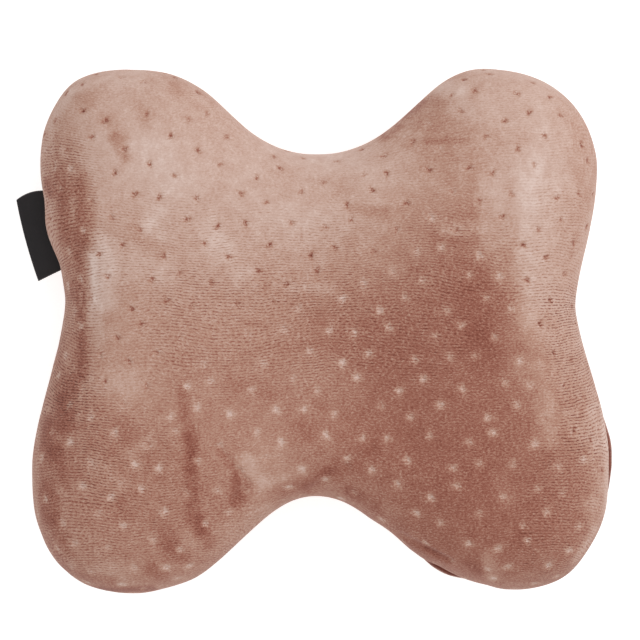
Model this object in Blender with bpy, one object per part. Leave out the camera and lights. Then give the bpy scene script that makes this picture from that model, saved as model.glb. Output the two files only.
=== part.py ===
"""A butterfly-shaped neck pillow: a foam core in a two-panel plush cover, with a zip across its back.

It lies on its flat back. X runs across the pillow, Y up it and Z out of its front, and the origin
is on the back panel's flat face. Sizes are in millimetres until a point goes into a mesh.
"""

import math
from collections import namedtuple

import bmesh
import bpy
import numpy as np
from mathutils import Vector
from mathutils.geometry import delaunay_2d_cdt, interpolate_bezier

MM = 0.001
CLEARANCE = 0.3  # between pieces that touch

# Main sizes of the outline, from the pillow's middle. They are of the widest part, seen from the front.
UPPER_LOBES = 135.3
LOWER_LEFT_LOBE = 135.9
LOWER_RIGHT_LOBE = 133.9
UPPER_NOTCH = 91.2
LOWER_NOTCH = 86.1
SHOULDERS = 143.3
WAIST = 132.1
HIPS = 149.2
LEAN = 1.1  # how far the soft cover leans to the left

# At each of these places the outline runs straight across or straight up, and a curve with handles
# of the given length joins one place to the next.
RIGHT, UP, LEFT, DOWN = (1, 0), (0, 1), (-1, 0), (0, -1)
Knot = namedtuple("Knot", "name place handle way")
OUTLINE = (
    Knot("right waist", (WAIST - LEAN, 12.7), 15.3, UP),
    Knot("right shoulder", (SHOULDERS - LEAN, 84.5), 26.7, UP),
    Knot("top of the upper right lobe", (83.7, UPPER_LOBES), 36.5, LEFT),
    Knot("bottom of the upper notch", (-3.2, UPPER_NOTCH), 46.0, LEFT),
    Knot("top of the upper left lobe", (-100.9, UPPER_LOBES), 56.3, LEFT),
    Knot("left shoulder", (-SHOULDERS - LEAN, 59.4), 17.3, DOWN),
    Knot("left waist", (-WAIST - LEAN, 14.0), 20.6, DOWN),
    Knot("left hip", (-HIPS - LEAN, -69.3), 22.5, DOWN),
    Knot("foot of the lower left lobe", (-98.0, -LOWER_LEFT_LOBE), 51.2, RIGHT),
    Knot("top of the lower notch", (-3.8, -LOWER_NOTCH), 32.4, RIGHT),
    Knot("foot of the lower right lobe", (98.3, -LOWER_RIGHT_LOBE), 49.9, RIGHT),
    Knot("right hip", (HIPS - LEAN, -64.3), 19.5, UP),
)
CURVE_STEPS = 24  # points on each curve between two places
RIM_POINTS = 60  # points on each ring of the meshes
TURN_WEIGHT = 25.0  # how much a turn of one radian counts as length when the rim's points are shared out

# Section through the edge
SEAM_HEIGHT = 44.0  # the seam, above the flat back
SEAM_PINCH = 2.2  # how far the seam draws in from the widest part
BULGE_RISE = 8.0  # from the seam to each panel's widest part
FRONT_RISE = 42.0  # from the front's widest part to its crown
FRONT_ROUND = 50.0  # how far in the front goes on rising
BACK_ROUND = 36.0  # how far in the back goes on falling to its flat
ROUND_POWER = 2.4  # 2 is an ellipse, and more is squarer
NECK_HOLLOW = 9.0  # depth of the trough that the neck lies in
NECK_HOLLOW_REACH = 78.0  # from the trough's middle to its sides
EDGE_STEPS = (0.8, 3.0, 7.0, 12.0)  # insets of the rings round the edge
LINING_STEPS = (2.0, 6.0, 12.0)  # the same under the panels, where nothing shows
TUCK_STEPS = (1.0, 0.75, 0.0)  # rings from the seam, 1, to the widest part, 0

# The back panel stands out past the front one beside the lower right lobe's seam
SPILL = 1.6
SPILL_PLACE = (147.0, -66.0)
SPILL_REACH = 34.0
SPILL_HEIGHT = 8.0

# Cover
COVER_THICKNESS = 2.5
HEM_WIDTH = 6.5  # the turned-in edge inside the seam
HEM_THICKNESS = 1.6

# Pin dots pressed into the front panel
DOT_PITCH = 17.6
DOT_ROW = 13.4
DOT_DRIFT = 3.4  # how far a dot strays from its even place
DOT_RADIUS = 2.1
DOT_DEPTH = 1.2
DOT_MARGIN = 16.5  # from the outline to the first dots
DOT_SIDES = 6
LINING_PITCH = 19.0  # points where nothing is pressed in
LINING_MARGIN = 4.0  # from the last ring to the first of those points

# Folded ribbon tab sewn into the left side seam
TAB_WIDTH = 44.0
TAB_REACH = 13.4  # out of the cover
TAB_ROOT = 1.5  # behind the seam at the tab's corners
TAB_MIDDLE = 51.0  # its middle, up the pillow
RIBBON_THICKNESS = 0.5
RIBBON_PARTING = 0.4  # between the ribbon's two layers
FOLD_SIDES = 6

# Zip across the back panel, in a shallow valley that keeps its slider off what the pillow lies on
ZIP_LENGTH = 180.0
ZIP_UP = -30.0  # the zip's line, up the pillow
VALLEY_DEPTH = 5.0
VALLEY_FLOOR = 13.5  # from the zip's line to where the valley's side starts
VALLEY_SIDE = 5.5  # width of its side
SLOT_HALF = 4.7
SLOT_OVERRUN = 2.0  # of the slot's straight sides, past each end of the coils
END_STEPS = 6  # sides of the round end of the slot and of the valley
STRAIGHT_STEPS = 6
TAPE_THICKNESS = 0.6
TAPE_WIDTH = 12.2
TAPE_OVERRUN = 5.0
COIL_THICKNESS = 1.4
COIL_HALF = 3.1  # from the zip's line to a coil's back
COIL_SPINE = 1.5  # width of the part that joins a coil's teeth
TOOTH_PITCH = 4.8
TOOTH_WIDTH = 2.0
TOOTH_OVERLAP = 0.9  # past the zip's line, between the other coil's teeth
STOP_LENGTH = 3.0
STOP_THICKNESS = 2.2
SLIDER_LENGTH = 10.0
SLIDER_PLATE = 1.0
SLIDER_WALL = 0.9
SLIDER_NOSE = 0.5  # how much each side narrows towards the slider's front end
ARCH_WIDTH = 1.4
ARCH_THICKNESS = 1.0
PULL_LENGTH = 22.0
PULL_WIDTH = 7.0
PULL_THICKNESS = 1.0
PULL_BAR = 1.0  # the pull's end bar, which turns under the arch
PIN_CLEARANCE = 0.35  # round that bar
PULL_ROOM = 1.0  # from the pull's tip to the end of the valley's floor
SLIDER_AT = ZIP_LENGTH / 2 - SLIDER_LENGTH / 2  # the slider's middle when the zip is closed

# Half the straight length of the slot's sides, and of the valley's, which also takes in the pull
SLOT_REACH = ZIP_LENGTH / 2 + SLOT_OVERRUN
VALLEY_REACH = max(SLOT_REACH, SLIDER_AT + PULL_LENGTH + PULL_ROOM - VALLEY_FLOOR)

Panel = namedtuple("Panel", "side widest rise round_in")
FRONT = Panel(1, SEAM_HEIGHT + BULGE_RISE, FRONT_RISE, FRONT_ROUND)
BACK = Panel(-1, SEAM_HEIGHT - BULGE_RISE, SEAM_HEIGHT - BULGE_RISE, BACK_ROUND)


def bell(part):
    """1 at 0, falling smoothly to 0 at 1 and past it."""
    return np.clip(1 - np.asarray(part) ** 2, 0, 1) ** 2


def ease(part):
    """0 at 0, rising smoothly to 1 at 1."""
    part = np.clip(part, 0, 1)
    return part * part * (3 - 2 * part)


# Outline


def traced_outline():
    """The outline as close points, counter-clockwise seen from the front."""
    path = []
    for here, after in zip(OUTLINE, OUTLINE[1:] + OUTLINE[:1]):
        start, end = Vector(here.place), Vector(after.place)
        leaving = start + here.handle * Vector(here.way)
        arriving = end - after.handle * Vector(after.way)
        curve = interpolate_bezier(start, leaving, arriving, end, CURVE_STEPS)
        path += [point[:2] for point in curve[:-1]]
    return np.array(path)


def rim_of(path):
    """RIM_POINTS places on the outline, closer together where it turns, with their inward normals."""
    along = np.roll(path, -1, axis=0) - np.roll(path, 1, axis=0)
    along /= np.linalg.norm(along, axis=1)[:, None]
    step = np.linalg.norm(np.roll(path, -1, axis=0) - path, axis=1)
    turn = np.arccos(np.clip((along * np.roll(along, -1, axis=0)).sum(axis=1), -1, 1))
    travelled = np.concatenate([[0], np.cumsum(step + TURN_WEIGHT * turn)])
    places = np.linspace(0, travelled[-1], RIM_POINTS, endpoint=False)

    def at_places(values):
        closed = np.vstack([values, values[:1]])
        return np.column_stack([np.interp(places, travelled, column) for column in closed.T])

    ways = at_places(along)
    ways /= np.linalg.norm(ways, axis=1)[:, None]
    return at_places(path), np.column_stack([-ways[:, 1], ways[:, 0]])


PATH = traced_outline()
RIM, INWARD = rim_of(PATH)


def inset_of(points):
    """How far in from the outline each point is."""
    ends = np.roll(PATH, -1, axis=0)
    runs = ends - PATH
    offsets = points[:, None] - PATH
    part = np.clip((offsets * runs).sum(axis=2) / (runs**2).sum(axis=1), 0, 1)
    return np.linalg.norm(offsets - part[:, :, None] * runs, axis=2).min(axis=1)


def inside(points, loop):
    """Whether each point lies inside a closed loop."""
    ends = np.roll(loop, -1, axis=0)
    x, y = points[:, None, 0], points[:, None, 1]
    crosses = (loop[:, 1] > y) != (ends[:, 1] > y)
    rise = np.where(ends[:, 1] == loop[:, 1], 1, ends[:, 1] - loop[:, 1])
    at = loop[:, 0] + (y - loop[:, 1]) / rise * (ends[:, 0] - loop[:, 0])
    return (crosses & (x < at)).sum(axis=1) % 2 == 1


# Heights


def off_zip(points):
    """Distance of each point from the valley's line."""
    past = np.maximum(np.abs(points[:, 0]) - VALLEY_REACH, 0)
    return np.hypot(past, points[:, 1] - ZIP_UP)


def surface_height(panel, points, insets, depth):
    """Height of a panel's surface, or of the layer that lies depth below it."""
    left = np.clip(1 - (insets - depth) / (panel.round_in - depth), 0, 1)
    rise = (panel.rise - depth) * (1 - left**ROUND_POWER) ** (1 / ROUND_POWER)
    if panel is FRONT:
        across = points[:, 0] / NECK_HOLLOW_REACH
        rise = rise - NECK_HOLLOW * bell(across) * ease(insets / FRONT_ROUND)
    else:
        climb = 1 - (off_zip(points) - VALLEY_FLOOR) / VALLEY_SIDE
        rise = rise - VALLEY_DEPTH * np.clip(climb, 0, 1)
    return panel.widest + panel.side * rise


def dot_places():
    """Staggered rows of dots that stray a little from their even places."""
    places = []
    for row in range(-15, 16):
        for column in range(-15, 16):
            stray = math.radians(137.5) * (column * 7 + row * 11)
            x = (column + 0.5 * (row % 2)) * DOT_PITCH + DOT_DRIFT * math.cos(stray)
            y = row * DOT_ROW + DOT_DRIFT * math.sin(1.7 * stray)
            places.append((x, y))
    places = np.array(places)
    kept = inside(places, PATH) & (inset_of(places) > DOT_MARGIN)
    return places[kept]


def lining_places(margin):
    """An even field of points, margin or more in from the outline."""
    steps = np.arange(-10, 11)
    across, up = np.meshgrid(steps, steps)
    x = (across + 0.5 * (up % 2)) * LINING_PITCH
    y = up * LINING_PITCH * math.sin(math.radians(60))
    places = np.column_stack([x.ravel(), y.ravel()])
    return places[inside(places, PATH) & (inset_of(places) > margin)]


# Meshes


class Body:
    """Points and faces of one closed solid, gathered in millimetres."""

    def __init__(self):
        self.points, self.faces = [], []

    def loop(self, points):
        """Adds points and gives back their numbers."""
        first = len(self.points)
        self.points += [tuple(point) for point in points]
        return list(range(first, len(self.points)))

    def strip(self, one, other):
        """Joins two closed loops with a band of faces."""
        for i, here in enumerate(one):
            after = (i + 1) % len(one)
            self.faces.append((here, one[after], other[after], other[i]))

    def bands(self, loops):
        for one, other in zip(loops, loops[1:]):
            self.strip(one, other)

    def fill(self, border, height_at, loops=(), dots=(), hole=None):
        """Faces inside a border loop, through further loops and points. It gives back the hole's loop."""
        flat = [self.points[number][:2] for number in border]
        numbers = list(border)
        edges = closed_edges(0, len(border))
        hole_numbers = None
        for loop in loops:
            edges += closed_edges(len(flat), len(loop))
            flat += [tuple(point) for point in loop]
            added = self.loop(with_height(loop, height_at))
            numbers += added
            hole_numbers = added if loop is hole else hole_numbers
        flat += [tuple(point) for point in dots]
        numbers += self.loop(with_height(dots, height_at))
        found = delaunay_2d_cdt([Vector(point) for point in flat], edges, [], 1, 1e-6)
        came_from = [origins[0] for origins in found[3]]
        for face in found[2]:
            corners = [came_from[corner] for corner in face]
            middle = np.mean([flat[corner] for corner in corners], axis=0)
            if hole is None or not inside(middle[None], hole)[0]:
                self.faces.append([numbers[corner] for corner in corners])
        return hole_numbers

    def make(self, name, material):
        """A closed Blender object, its faces turned outwards."""
        mesh = bpy.data.meshes.new(name)
        mesh.from_pydata([Vector(point) * MM for point in self.points], [], self.faces)
        turned = bmesh.new()
        turned.from_mesh(mesh)
        bmesh.ops.recalc_face_normals(turned, faces=turned.faces)
        turned.to_mesh(mesh)
        turned.free()
        return placed(name, mesh, material)


def closed_edges(first, count):
    return [(first + i, first + (i + 1) % count) for i in range(count)]


def with_height(places, height_at):
    if not len(places):
        return []
    places = np.asarray(places)
    return np.column_stack([places, height_at(places)])


def placed(name, mesh, material):
    mesh.shade_smooth()
    mesh.set_sharp_from_angle(angle=math.radians(40))
    obj = bpy.data.objects.new(name, mesh)
    bpy.context.scene.collection.objects.link(obj)
    if material:
        mesh.materials.append(material)
    return obj


def prism(name, corners, low, high, material, axis="Z"):
    """A flat outline in millimetres, extruded along an axis from low to high."""
    body = Body()
    place = {"X": lambda a, b, c: (c, a, b), "Y": lambda a, b, c: (a, c, b), "Z": lambda a, b, c: (a, b, c)}[axis]
    ends = [body.loop([place(a, b, level) for a, b in corners]) for level in (low, high)]
    body.strip(*ends)
    body.faces += ends
    return body.make(name, material)


def rectangle(left, right, bottom, top):
    return [(left, bottom), (right, bottom), (right, top), (left, top)]


def boolean(obj, other, operation):
    """Adds or cuts another object, which is then only a guide."""
    other.hide_render = True
    other.display_type = "WIRE"
    modifier = obj.modifiers.new(other.name, "BOOLEAN")
    modifier.operation = operation
    modifier.object = other


def paint(name, color, roughness, metallic=0.0):
    material = bpy.data.materials.new(name)
    material.use_nodes = True
    shader = material.node_tree.nodes["Principled BSDF"]
    shader.inputs["Base Color"].default_value = (*color, 1)
    shader.inputs["Roughness"].default_value = roughness
    shader.inputs["Metallic"].default_value = metallic
    return material


# Rings round the edge


def spill_at(panel, height):
    """How far each rim point of a ring stands out past the outline."""
    if panel is FRONT:
        return np.zeros(len(RIM))
    away = np.linalg.norm(RIM - SPILL_PLACE, axis=1) / SPILL_REACH
    return SPILL * bell(away) * bell((height - panel.widest) / SPILL_HEIGHT)


def ring(body, panel, inset, height=None, depth=0.0):
    """One ring of points. With no height given, it follows the panel's surface."""
    points = RIM + INWARD * inset
    if height is None:
        heights = surface_height(panel, points, np.full(len(points), inset), depth)
        points = points - INWARD * spill_at(panel, heights[0])[:, None]
    else:
        heights = np.full(len(points), height)
        points = points - INWARD * spill_at(panel, height)[:, None]
    return body.loop(np.column_stack([points, heights]))


def edge_rings(body, panel, depth, seam_face, steps):
    """Rings from the seam to the border of the panel's middle. seam_face is the first one's height off the seam."""
    loops = []
    for part in TUCK_STEPS:
        inset = depth + SEAM_PINCH * (1 - math.sqrt(1 - part * part))
        height = panel.widest - panel.side * (BULGE_RISE - seam_face) * part
        loops.append(ring(body, panel, inset, height))
    for step in steps:
        loops.append(ring(body, panel, depth + step, depth=depth))
    return loops


def zip_loop(reach, away):
    """A closed loop at one distance from the zip's line: two straight sides and two round ends."""
    loop = []
    for side in (1, -1):
        for i in range(END_STEPS + 1):
            angle = math.pi * (i / END_STEPS - 0.5)
            loop.append((side * (reach + away * math.cos(angle)), side * away * math.sin(angle)))
        for i in range(1, STRAIGHT_STEPS):
            loop.append((side * reach * (1 - 2 * i / STRAIGHT_STEPS), side * away))
    return np.array(loop) + (0, ZIP_UP)


def valley_loops():
    return [zip_loop(VALLEY_REACH, away) for away in (VALLEY_FLOOR, VALLEY_FLOOR + VALLEY_SIDE)]


# Sub-parts


def panel_shell(name, panel, material, slot=None):
    """One panel of the cover: its face, its turned-in hem along the seam and its inside."""
    body = Body()
    outer = edge_rings(body, panel, 0.0, CLEARANCE / 2, EDGE_STEPS)
    inner = edge_rings(body, panel, COVER_THICKNESS, CLEARANCE / 2 + HEM_THICKNESS, LINING_STEPS)
    hem = [
        ring(body, panel, SEAM_PINCH + HEM_WIDTH, SEAM_HEIGHT + panel.side * off)
        for off in (CLEARANCE / 2, CLEARANCE / 2 + HEM_THICKNESS)
    ]
    body.bands(outer[::-1] + hem + inner)

    def outer_height(points):
        return surface_height(panel, points, inset_of(points), 0.0)

    def inner_height(points):
        return surface_height(panel, points, inset_of(points), COVER_THICKNESS)

    lining = lining_places(LINING_STEPS[-1] + COVER_THICKNESS + CLEARANCE + LINING_MARGIN)
    if panel is FRONT:
        press_dots(body, outer[-1], outer_height)
        body.fill(inner[-1], inner_height, dots=lining)
    else:
        lining = lining[off_zip(lining) > VALLEY_FLOOR + VALLEY_SIDE + CLEARANCE]
        loops = [slot, *valley_loops()]
        outside = body.fill(outer[-1], outer_height, loops, lining, hole=slot)
        within = body.fill(inner[-1], inner_height, loops, lining, hole=slot)
        body.strip(outside, within)
    return body.make(name, material)


def press_dots(body, border, height_at):
    """Fills the front with pin dots: each one a low cone of points."""
    rims, middles = [], []
    for x, y in dot_places():
        middles.append((x, y))
        for i in range(DOT_SIDES):
            angle = 2 * math.pi * i / DOT_SIDES
            rims.append((x + DOT_RADIUS * math.cos(angle), y + DOT_RADIUS * math.sin(angle)))
    pressed = {tuple(middle) for middle in middles}

    def dotted_height(points):
        deep = np.array([tuple(point) in pressed for point in points])
        return height_at(points) - DOT_DEPTH * deep

    body.fill(border, dotted_height, dots=np.array(middles + rims))


def foam_core(material):
    """The foam: the cover's shape inside its lining, grooved for the hem and let in for the zip."""
    body = Body()
    depth = COVER_THICKNESS + CLEARANCE
    shelf = CLEARANCE / 2 + HEM_THICKNESS + CLEARANCE
    front = edge_rings(body, FRONT, depth, shelf, LINING_STEPS)
    back = edge_rings(body, BACK, depth, shelf, LINING_STEPS)
    groove = [
        ring(body, panel, SEAM_PINCH + HEM_WIDTH + CLEARANCE, SEAM_HEIGHT + panel.side * shelf)
        for panel in (FRONT, BACK)
    ]
    body.bands(front[::-1] + groove + back)
    lining = lining_places(LINING_STEPS[-1] + COVER_THICKNESS + CLEARANCE + LINING_MARGIN)
    body.fill(front[-1], lambda points: surface_height(FRONT, points, inset_of(points), depth), dots=lining)

    def back_height(points):
        under_tapes = off_zip(points) < VALLEY_FLOOR + CLEARANCE
        room = (TAPE_THICKNESS + CLEARANCE) * under_tapes
        return surface_height(BACK, points, inset_of(points), depth) + room

    away = lining[off_zip(lining) > VALLEY_FLOOR + VALLEY_SIDE + CLEARANCE]
    body.fill(back[-1], back_height, valley_loops(), away)
    return body.make("foam_core", material)


def tab_frame():
    """The tab's middle on the outline, the way along its root and the way out of the pillow."""
    left = PATH[:, 0] < 0
    middle = PATH[left][np.argmin(np.abs(PATH[left][:, 1] - TAB_MIDDLE))]
    far = np.abs(np.linalg.norm(PATH - middle, axis=1) - TAB_WIDTH / 2)
    above = PATH[np.argmin(far + 1e6 * (PATH[:, 1] < middle[1]))]
    below = PATH[np.argmin(far + 1e6 * (PATH[:, 1] > middle[1]))]
    along = (above - below) / np.linalg.norm(above - below)
    return (above + below) / 2, along, np.array([-along[1], along[0]])


def tab_section():
    """The folded ribbon seen from its end: two layers joined by a round fold, as (out, up) pairs."""
    inner = RIBBON_PARTING / 2
    outer = inner + RIBBON_THICKNESS
    root = -(SEAM_PINCH + TAB_ROOT)
    turn = [math.pi * (i / FOLD_SIDES - 0.5) for i in range(FOLD_SIDES + 1)]
    centre = TAB_REACH - outer
    outside = [(centre + outer * math.cos(a), outer * math.sin(a)) for a in turn]
    hollow = [(centre + inner * math.cos(a), inner * math.sin(a)) for a in reversed(turn)]
    return [(root, -outer), *outside, (root, outer), (root, inner), *hollow, (root, -inner)]


def along_tab(section, half_width):
    """A section of (out, up) pairs carried along the tab's root, half_width each way."""
    middle, along, out = tab_frame()
    body = Body()
    ends = []
    for side in (-1, 1):
        row = middle + along * side * half_width
        ends.append(body.loop([(*(row + out * reach), SEAM_HEIGHT + up) for reach, up in section]))
    body.strip(*ends)
    body.faces += ends
    return body


def side_tab(material):
    return along_tab(tab_section(), TAB_WIDTH / 2).make("side_tab", material)


def tab_pocket(name):
    """The room that the tab's root takes out of the two hems."""
    back = -(SEAM_PINCH + TAB_ROOT + CLEARANCE)
    half_up = RIBBON_PARTING / 2 + RIBBON_THICKNESS + CLEARANCE
    section = rectangle(back, TAB_REACH, -half_up, half_up)
    return along_tab(section, TAB_WIDTH / 2 + CLEARANCE).make(name, None)


# Zip. Heights are counted from the plane that the pillow lies on.

TAPE_BOTTOM = VALLEY_DEPTH + COVER_THICKNESS + CLEARANCE
COIL_TOP = TAPE_BOTTOM - CLEARANCE
COIL_BOTTOM = COIL_TOP - COIL_THICKNESS
PLATE_TOP = COIL_BOTTOM - CLEARANCE
PLATE_BOTTOM = PLATE_TOP - SLIDER_PLATE
PIN_HEIGHT = PLATE_BOTTOM - CLEARANCE - PULL_THICKNESS / 2


def zip_tape(name, side, material):
    reach = ZIP_LENGTH / 2 + TAPE_OVERRUN
    rows = sorted((ZIP_UP + side * CLEARANCE / 2, ZIP_UP + side * (CLEARANCE / 2 + TAPE_WIDTH)))
    corners = rectangle(-reach, reach, *rows)
    return prism(name, corners, TAPE_BOTTOM, TAPE_BOTTOM + TAPE_THICKNESS, material)


def zip_coil(name, side, material):
    """One row of teeth on its spine. The other row's teeth stand half a pitch along."""
    end = ZIP_LENGTH / 2
    count = int((ZIP_LENGTH - TOOTH_PITCH) // TOOTH_PITCH)
    first = -(count - 0.5) * TOOTH_PITCH / 2 + (TOOTH_PITCH / 2 if side > 0 else 0)
    root, tip = COIL_HALF - COIL_SPINE, -TOOTH_OVERLAP
    corners = [(-end, COIL_HALF), (-end, root)]
    for i in range(count):
        middle = first + i * TOOTH_PITCH
        before, after = middle - TOOTH_WIDTH / 2, middle + TOOTH_WIDTH / 2
        corners += [(before, root), (before, tip), (after, tip), (after, root)]
    corners += [(end, root), (end, COIL_HALF)]
    corners = [(x, ZIP_UP + side * off) for x, off in corners]
    return prism(name, corners, COIL_BOTTOM, COIL_TOP, material)


def zip_stop(name, side, material):
    near, far = ZIP_LENGTH / 2 + CLEARANCE, ZIP_LENGTH / 2 + CLEARANCE + STOP_LENGTH
    across = sorted((side * near, side * far))
    corners = rectangle(*across, ZIP_UP - COIL_HALF, ZIP_UP + COIL_HALF)
    return prism(name, corners, COIL_TOP - STOP_THICKNESS, COIL_TOP, material)


def slider_body(material):
    """The slider's outer half: a plate with a wall down each side of the coils, and an arch for the pull."""
    inner = COIL_HALF + CLEARANCE
    outer = inner + SLIDER_WALL
    section = [
        (-outer, COIL_TOP), (-outer, PLATE_BOTTOM), (outer, PLATE_BOTTOM), (outer, COIL_TOP),
        (inner, COIL_TOP), (inner, PLATE_TOP), (-inner, PLATE_TOP), (-inner, COIL_TOP),
    ]
    slider = prism("zip_slider", section, -SLIDER_LENGTH / 2, SLIDER_LENGTH / 2, material, axis="X")
    front = SLIDER_LENGTH / 2
    for side in (-1, 1):
        corners = [(front / 2, side * (outer + CLEARANCE))]
        corners += [(front + CLEARANCE, side * off) for off in (outer + CLEARANCE, outer - SLIDER_NOSE)]
        corner = prism(f"slider_corner_{side:+d}", corners, 0, COIL_TOP + CLEARANCE, None)
        boolean(slider, corner, "DIFFERENCE")
        corner.parent = slider
    arch = slider_arch()
    boolean(slider, arch, "UNION")
    arch.parent = slider
    slider.location = (SLIDER_AT * MM, ZIP_UP * MM, 0)
    return slider


def slider_arch():
    """A half ring round the pull's bar, on two legs that go into the plate."""
    inner = math.hypot(PULL_BAR, PULL_THICKNESS) / 2 + PIN_CLEARANCE
    outer = inner + ARCH_THICKNESS
    turn = [math.pi * i / 8 for i in range(9)]
    leg_top = PLATE_BOTTOM + SLIDER_PLATE / 2
    outside = [(outer * math.cos(a), PIN_HEIGHT - outer * math.sin(a)) for a in turn]
    hollow = [(inner * math.cos(a), PIN_HEIGHT - inner * math.sin(a)) for a in reversed(turn)]
    corners = [(outer, leg_top), *outside, (-outer, leg_top), (-inner, leg_top), *hollow, (inner, leg_top)]
    return prism("slider_arch", corners, -ARCH_WIDTH / 2, ARCH_WIDTH / 2, None, axis="Y")


def zip_pull(slider, material):
    """A flat pull with a window at one end. The bar past the window turns under the slider's arch."""
    half = PULL_WIDTH / 2
    start = PULL_BAR / 2
    straight = PULL_LENGTH - half
    turn = [math.pi / 2 + math.pi * i / 8 for i in range(9)]
    tip = [(-straight + half * math.cos(a), half * math.sin(a)) for a in turn]
    corners = [(start, -half), (start, half), *tip]
    pull = prism("zip_pull", corners, -PULL_THICKNESS / 2, PULL_THICKNESS / 2, material)
    reach = math.hypot(PULL_BAR, PULL_THICKNESS) / 2 + 2 * PIN_CLEARANCE + ARCH_THICKNESS
    room = ARCH_WIDTH / 2 + PIN_CLEARANCE
    window = prism("pull_window", rectangle(-reach, -start, -room, room), -PULL_THICKNESS, PULL_THICKNESS, None)
    boolean(pull, window, "DIFFERENCE")
    window.parent = pull
    pull.parent = slider
    pull.location = (0, 0, PIN_HEIGHT * MM)
    return pull


def clear_scene():
    for obj in list(bpy.data.objects):
        bpy.data.objects.remove(obj)


def main():
    clear_scene()
    plush = paint("dusty_pink_plush", (0.44, 0.235, 0.185), 0.9)
    foam = paint("cream_foam", (0.83, 0.76, 0.6), 0.95)
    ribbon = paint("black_ribbon", (0.02, 0.019, 0.02), 0.7)
    tape = paint("brown_tape", (0.3, 0.15, 0.12), 0.85)
    nylon = paint("brown_nylon", (0.34, 0.17, 0.135), 0.45)
    steel = paint("nickel", (0.66, 0.64, 0.6), 0.3, metallic=1.0)
    slot = zip_loop(SLOT_REACH, SLOT_HALF)
    foam_core(foam)
    for name, panel in (("cover_front", FRONT), ("cover_back", BACK)):
        shell = panel_shell(name, panel, plush, slot)
        boolean(shell, tab_pocket(f"{name}_tab_pocket"), "DIFFERENCE")
    side_tab(ribbon)
    for place, side in (("upper", 1), ("lower", -1)):
        zip_tape(f"zip_tape_{place}", side, tape)
        zip_coil(f"zip_coil_{place}", side, nylon)
    for place, side in (("right", 1), ("left", -1)):
        zip_stop(f"zip_stop_{place}", side, steel)
    zip_pull(slider_body(steel), steel)


main()
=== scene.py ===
# %% [markdown]
# # A butterfly neck pillow in dusty-pink plush
#
# This lesson dresses a finished model. The solids of the pillow already exist: a foam core, two
# halves of a cover, a ribbon tab and a zip. They say where everything sits and how big it is, and
# they stay where they are. What they lack is a surface: the pile of the plush, its brushed marks,
# its pin dots, the weave of the tab. So the first step is to load the solids and to keep the size
# of their box, which the dressed pillow has to keep.

# %% Load the solids
import math
from collections import namedtuple

import bmesh
import bpy
import numpy as np
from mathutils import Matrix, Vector, noise
from mathutils.geometry import delaunay_2d_cdt, interpolate_bezier
from mathutils.kdtree import KDTree


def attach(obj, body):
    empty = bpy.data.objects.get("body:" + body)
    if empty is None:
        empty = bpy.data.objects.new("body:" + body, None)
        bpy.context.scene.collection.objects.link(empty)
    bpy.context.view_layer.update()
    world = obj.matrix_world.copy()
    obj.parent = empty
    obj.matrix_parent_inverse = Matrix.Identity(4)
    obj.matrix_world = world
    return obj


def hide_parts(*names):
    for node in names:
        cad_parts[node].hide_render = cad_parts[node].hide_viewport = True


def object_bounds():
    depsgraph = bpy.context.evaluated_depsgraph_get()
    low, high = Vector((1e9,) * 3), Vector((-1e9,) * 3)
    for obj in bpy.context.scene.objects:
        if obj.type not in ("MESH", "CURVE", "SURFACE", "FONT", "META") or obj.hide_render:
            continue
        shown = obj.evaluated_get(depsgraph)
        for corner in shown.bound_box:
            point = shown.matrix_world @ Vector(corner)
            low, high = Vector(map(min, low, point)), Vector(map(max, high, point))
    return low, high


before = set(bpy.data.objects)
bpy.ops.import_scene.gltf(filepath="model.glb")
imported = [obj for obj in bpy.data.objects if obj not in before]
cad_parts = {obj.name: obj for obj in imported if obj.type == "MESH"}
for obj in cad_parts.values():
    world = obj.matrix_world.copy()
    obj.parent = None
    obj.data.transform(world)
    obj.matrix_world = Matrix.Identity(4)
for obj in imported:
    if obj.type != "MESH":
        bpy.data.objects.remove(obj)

MM = 0.001
SOLIDS_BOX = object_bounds()
print("solids:", ", ".join(sorted(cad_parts)))

# %% [markdown]
# ## The studio
#
# The pillow was photographed from straight above with a long lens, which shows almost no
# perspective, on a white that glows a little. A long lens high above the pillow repeats that. The
# width of the view is set where the outline is, at the widest part of the cushion, because that is
# where a pixel of the photograph can be turned into a real size. The floor is pale and gives off
# some light of its own, as a lit table does: that keeps the shadow beside the pillow faint and puts
# the pale rim on its pile.

# %% Camera, floor and light
VIEW_WIDTH = 331.5  # what the picture spans, at the height of the outline
VIEW_MIDDLE = (-1.3, 5.4)
OUTLINE_HEIGHT = 50.0
LENS = 135.0
SENSOR = 36.0


def add_camera():
    lens = bpy.data.cameras.new("long_lens")
    lens.lens = LENS
    lens.sensor_width = SENSOR
    camera = bpy.data.objects.new("camera", lens)
    away = VIEW_WIDTH * LENS / SENSOR
    camera.location = (VIEW_MIDDLE[0] * MM, VIEW_MIDDLE[1] * MM, (OUTLINE_HEIGHT + away) * MM)
    lens.clip_end = 10 * away * MM
    bpy.context.scene.collection.objects.link(camera)
    bpy.context.scene.camera = camera
    print(f"camera {camera.location.z:.2f} m up")


def add_lamp(name, place, size, watts):
    """A square soft box that looks at the pillow."""
    light = bpy.data.lights.new(name, "AREA")
    light.size = size
    light.energy = watts
    lamp = bpy.data.objects.new(name, light)
    lamp.location = place
    lamp.rotation_euler = (-Vector(place)).to_track_quat("-Z", "Y").to_euler()
    bpy.context.scene.collection.objects.link(lamp)


add_camera()
bpy.context.scene.view_settings.view_transform = "Standard"

# %% [markdown]
# ## Shader maths that reads like maths
#
# A material is a graph of nodes, and a graph is hard to read when each sum takes four lines. The
# class Tone wraps one number socket, so that `1 - mask * 0.5` adds the Math nodes for it. The class
# Finish holds one material. Its node method makes any other node: it sets what the node is first,
# and then gives its sockets values or links. Colours and directions never go through Math nodes,
# which would turn them grey. They go through Mix and Vector Math.

# %% Tone and Finish


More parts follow.
